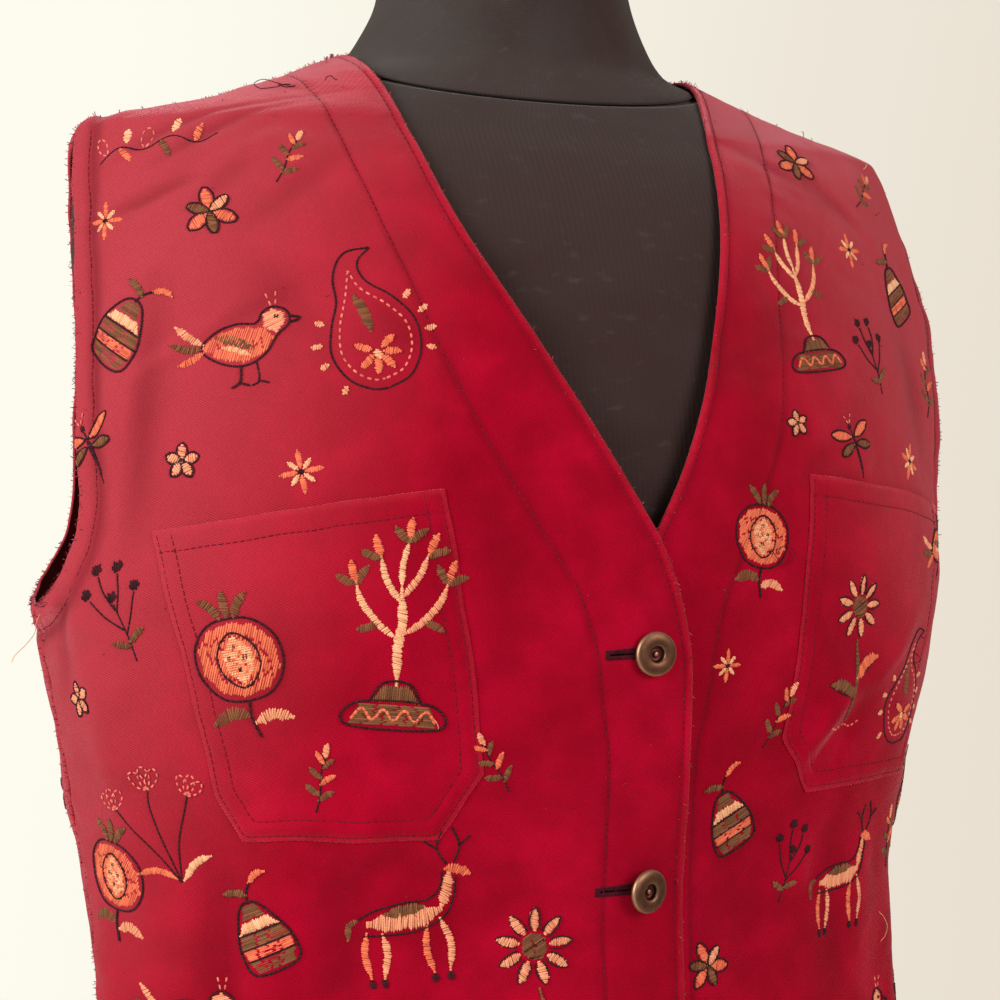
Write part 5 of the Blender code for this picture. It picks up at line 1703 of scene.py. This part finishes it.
# Lint: fine broken fibres of the cotton that stand off the cloth, most of them at its worn edges.
red_lint = thread_finish("red_cotton_lint", (0.16, 0.0015, 0.009), (0.42, 0.04, 0.06), 0.8, 0.2)
draw = np.random.default_rng(17)
starts, stops, ways = [], [], []
for outer, squares, edges, count in (
        (right_outer, right_square, right_edges, 1900), (left_outer, left_square, left_edges, 1900),
        (back_outer, back_square, back_edges, 1900)):
    nearest_edge = np.minimum(np.minimum(edges[0] + 0.003, edges[1]), edges[2])
    chance = (np.exp(-(nearest_edge / 0.0035) ** 2) + 0.006).ravel()
    picks = draw.choice(chance.size, count, p=chance / chance.sum())
    start, out = outer.reshape(-1, 3)[picks], squares.reshape(-1, 3)[picks]
    way = out * draw.uniform(0.15, 1.0, (count, 1)) + draw.normal(0.0, 0.75, (count, 3))
    way /= np.linalg.norm(way, axis=1, keepdims=True)
    starts.append(start - out * 0.0002)
    stops.append(start + way * draw.uniform(0.0004, 0.0016, (count, 1)) + out * 0.0003)
    ways.append(np.cross(way, draw.normal(0.0, 1.0, (count, 3))))
starts, stops, ways = (np.concatenate(part) for part in (starts, stops, ways))
ways /= np.linalg.norm(ways, axis=1, keepdims=True)
thread_mesh("cotton_lint", starts, stops, ways, 0.00009, 0.0003, 0.0, [red_lint], 0)


# Floor, light and camera: a pale disc to stand on, the soft daylight of a room with a cream wall,
# and the photograph's own viewpoint.
FLOOR_RADIUS = 0.72
VIEW_TURN = math.radians(23.1)
VIEW_DISTANCE = 0.8331
VIEW_Z = 0.48
VIEW_ROLL = 0.0215
VIEW_LENS = 68.4

points = [(0.0, 0.0, -0.0004)]
faces = []
for radius, z in ((0.3, -0.0004), (0.6, -0.0004), (FLOOR_RADIUS - 0.004, -0.0004),
    (FLOOR_RADIUS, -0.004)):
    first = len(points)
    points += [(radius * math.cos(t), radius * math.sin(t), z) for t in np.linspace(0, math.tau, 97)[:-1]]
    for i in range(96):
        j = (i + 1) % 96
        if first == 1:
            faces.append((0, first + i, first + j))
        else:
            faces.append((first - 96 + i, first + i, first + j, first - 96 + j))
floor = new_piece("floor", points, faces)
floor_paint, tree, shader = new_finish("pale_matt_floor")
place = shader_node(tree, 'TexCoord')
patches = shader_node(tree, 'Group', {"Place": place.outputs["Object"], "Patches Per Metre": 3.0},
    node_tree=patchy)
colour = shader_node(tree, 'Mix', {
    0: patches.outputs["Mask"], 6: (0.74, 0.7, 0.62, 1.0), 7: (0.78, 0.74, 0.66, 1.0)}, data_type='RGBA')
tree.links.new(colour.outputs[2], shader.inputs["Base Color"])
shader.inputs["Roughness"].default_value = 0.9
floor.data.materials.append(floor_paint)

world = bpy.data.worlds.new("daylit_room")
bpy.context.scene.world = world
world.use_nodes = True
tree = world.node_tree
direction = shader_node(tree, 'TexCoord')
across = shader_node(tree, 'VectorMath', {
    0: direction.outputs["Generated"], 1: (math.cos(VIEW_TURN), -math.sin(VIEW_TURN),
        -0.15)}, operation='DOT_PRODUCT')
share = shader_node(tree, 'MapRange', {
    "Value": across.outputs["Value"], "From Min": -0.3, "From Max": 0.32},
    interpolation_type='SMOOTHSTEP')
wall = shader_node(tree, 'Mix', {
    0: share.outputs[0], 6: (0.985, 0.975, 0.86, 1.0), 7: (0.815, 0.74, 0.64, 1.0)}, data_type='RGBA')
tree.links.new(wall.outputs[2], tree.nodes["Background"].inputs["Color"])
# The wall is seen bright, but it lights the vest less than the windows do
ray = shader_node(tree, 'LightPath')
strength = shader_node(tree, 'MapRange', {"Value": ray.outputs["Is Camera Ray"], "To Min": 0.52,
    "To Max": 1.0})
tree.links.new(strength.outputs[0], tree.nodes["Background"].inputs["Strength"])


def soft_light(name, where, aim, size, power, colour):
    """Large soft light, like a window or a pale wall."""
    lamp = bpy.data.lights.new(name, 'AREA')
    lamp.shape = 'RECTANGLE'
    lamp.size, lamp.size_y = size
    lamp.energy = power
    lamp.color = colour
    light = bpy.data.objects.new(name, lamp)
    light.location = where
    light.visible_camera = False
    light.rotation_euler = (Vector(aim) - Vector(where)).to_track_quat('-Z', 'Y').to_euler()
    bpy.context.scene.collection.objects.link(light)


soft_light("window_left", (-1.95, -0.55, 1.05), (0.0, 0.0, 0.45), (1.1, 1.4), 60.0, (1.0, 0.97, 0.95))
soft_light("room_front", (0.9, -2.1, 1.15), (0.0, 0.0, 0.45), (1.5, 1.3), 50.0, (1.0, 0.95, 0.93))

lens = bpy.data.cameras.new("photograph_camera")
lens.sensor_width = 36.0
lens.lens = VIEW_LENS
lens.shift_x = -0.0134
lens.shift_y = 0.0166
camera = bpy.data.objects.new("photograph_camera", lens)
right = Vector((math.cos(VIEW_TURN), -math.sin(VIEW_TURN), 0.0))
upward = Vector((0.0, 0.0, 1.0))
rolled_right = (right - upward * VIEW_ROLL).normalized()
rolled_up = (upward + right * VIEW_ROLL).normalized()
axes = Matrix((rolled_right, rolled_up, rolled_right.cross(rolled_up))).transposed().to_4x4()
eye = Vector((-VIEW_DISTANCE * math.sin(VIEW_TURN), -VIEW_DISTANCE * math.cos(VIEW_TURN), VIEW_Z))
camera.matrix_world = Matrix.Translation(eye) @ axes
bpy.context.scene.collection.objects.link(camera)
bpy.context.scene.camera = camera
bpy.context.scene.view_settings.view_transform = 'Standard'
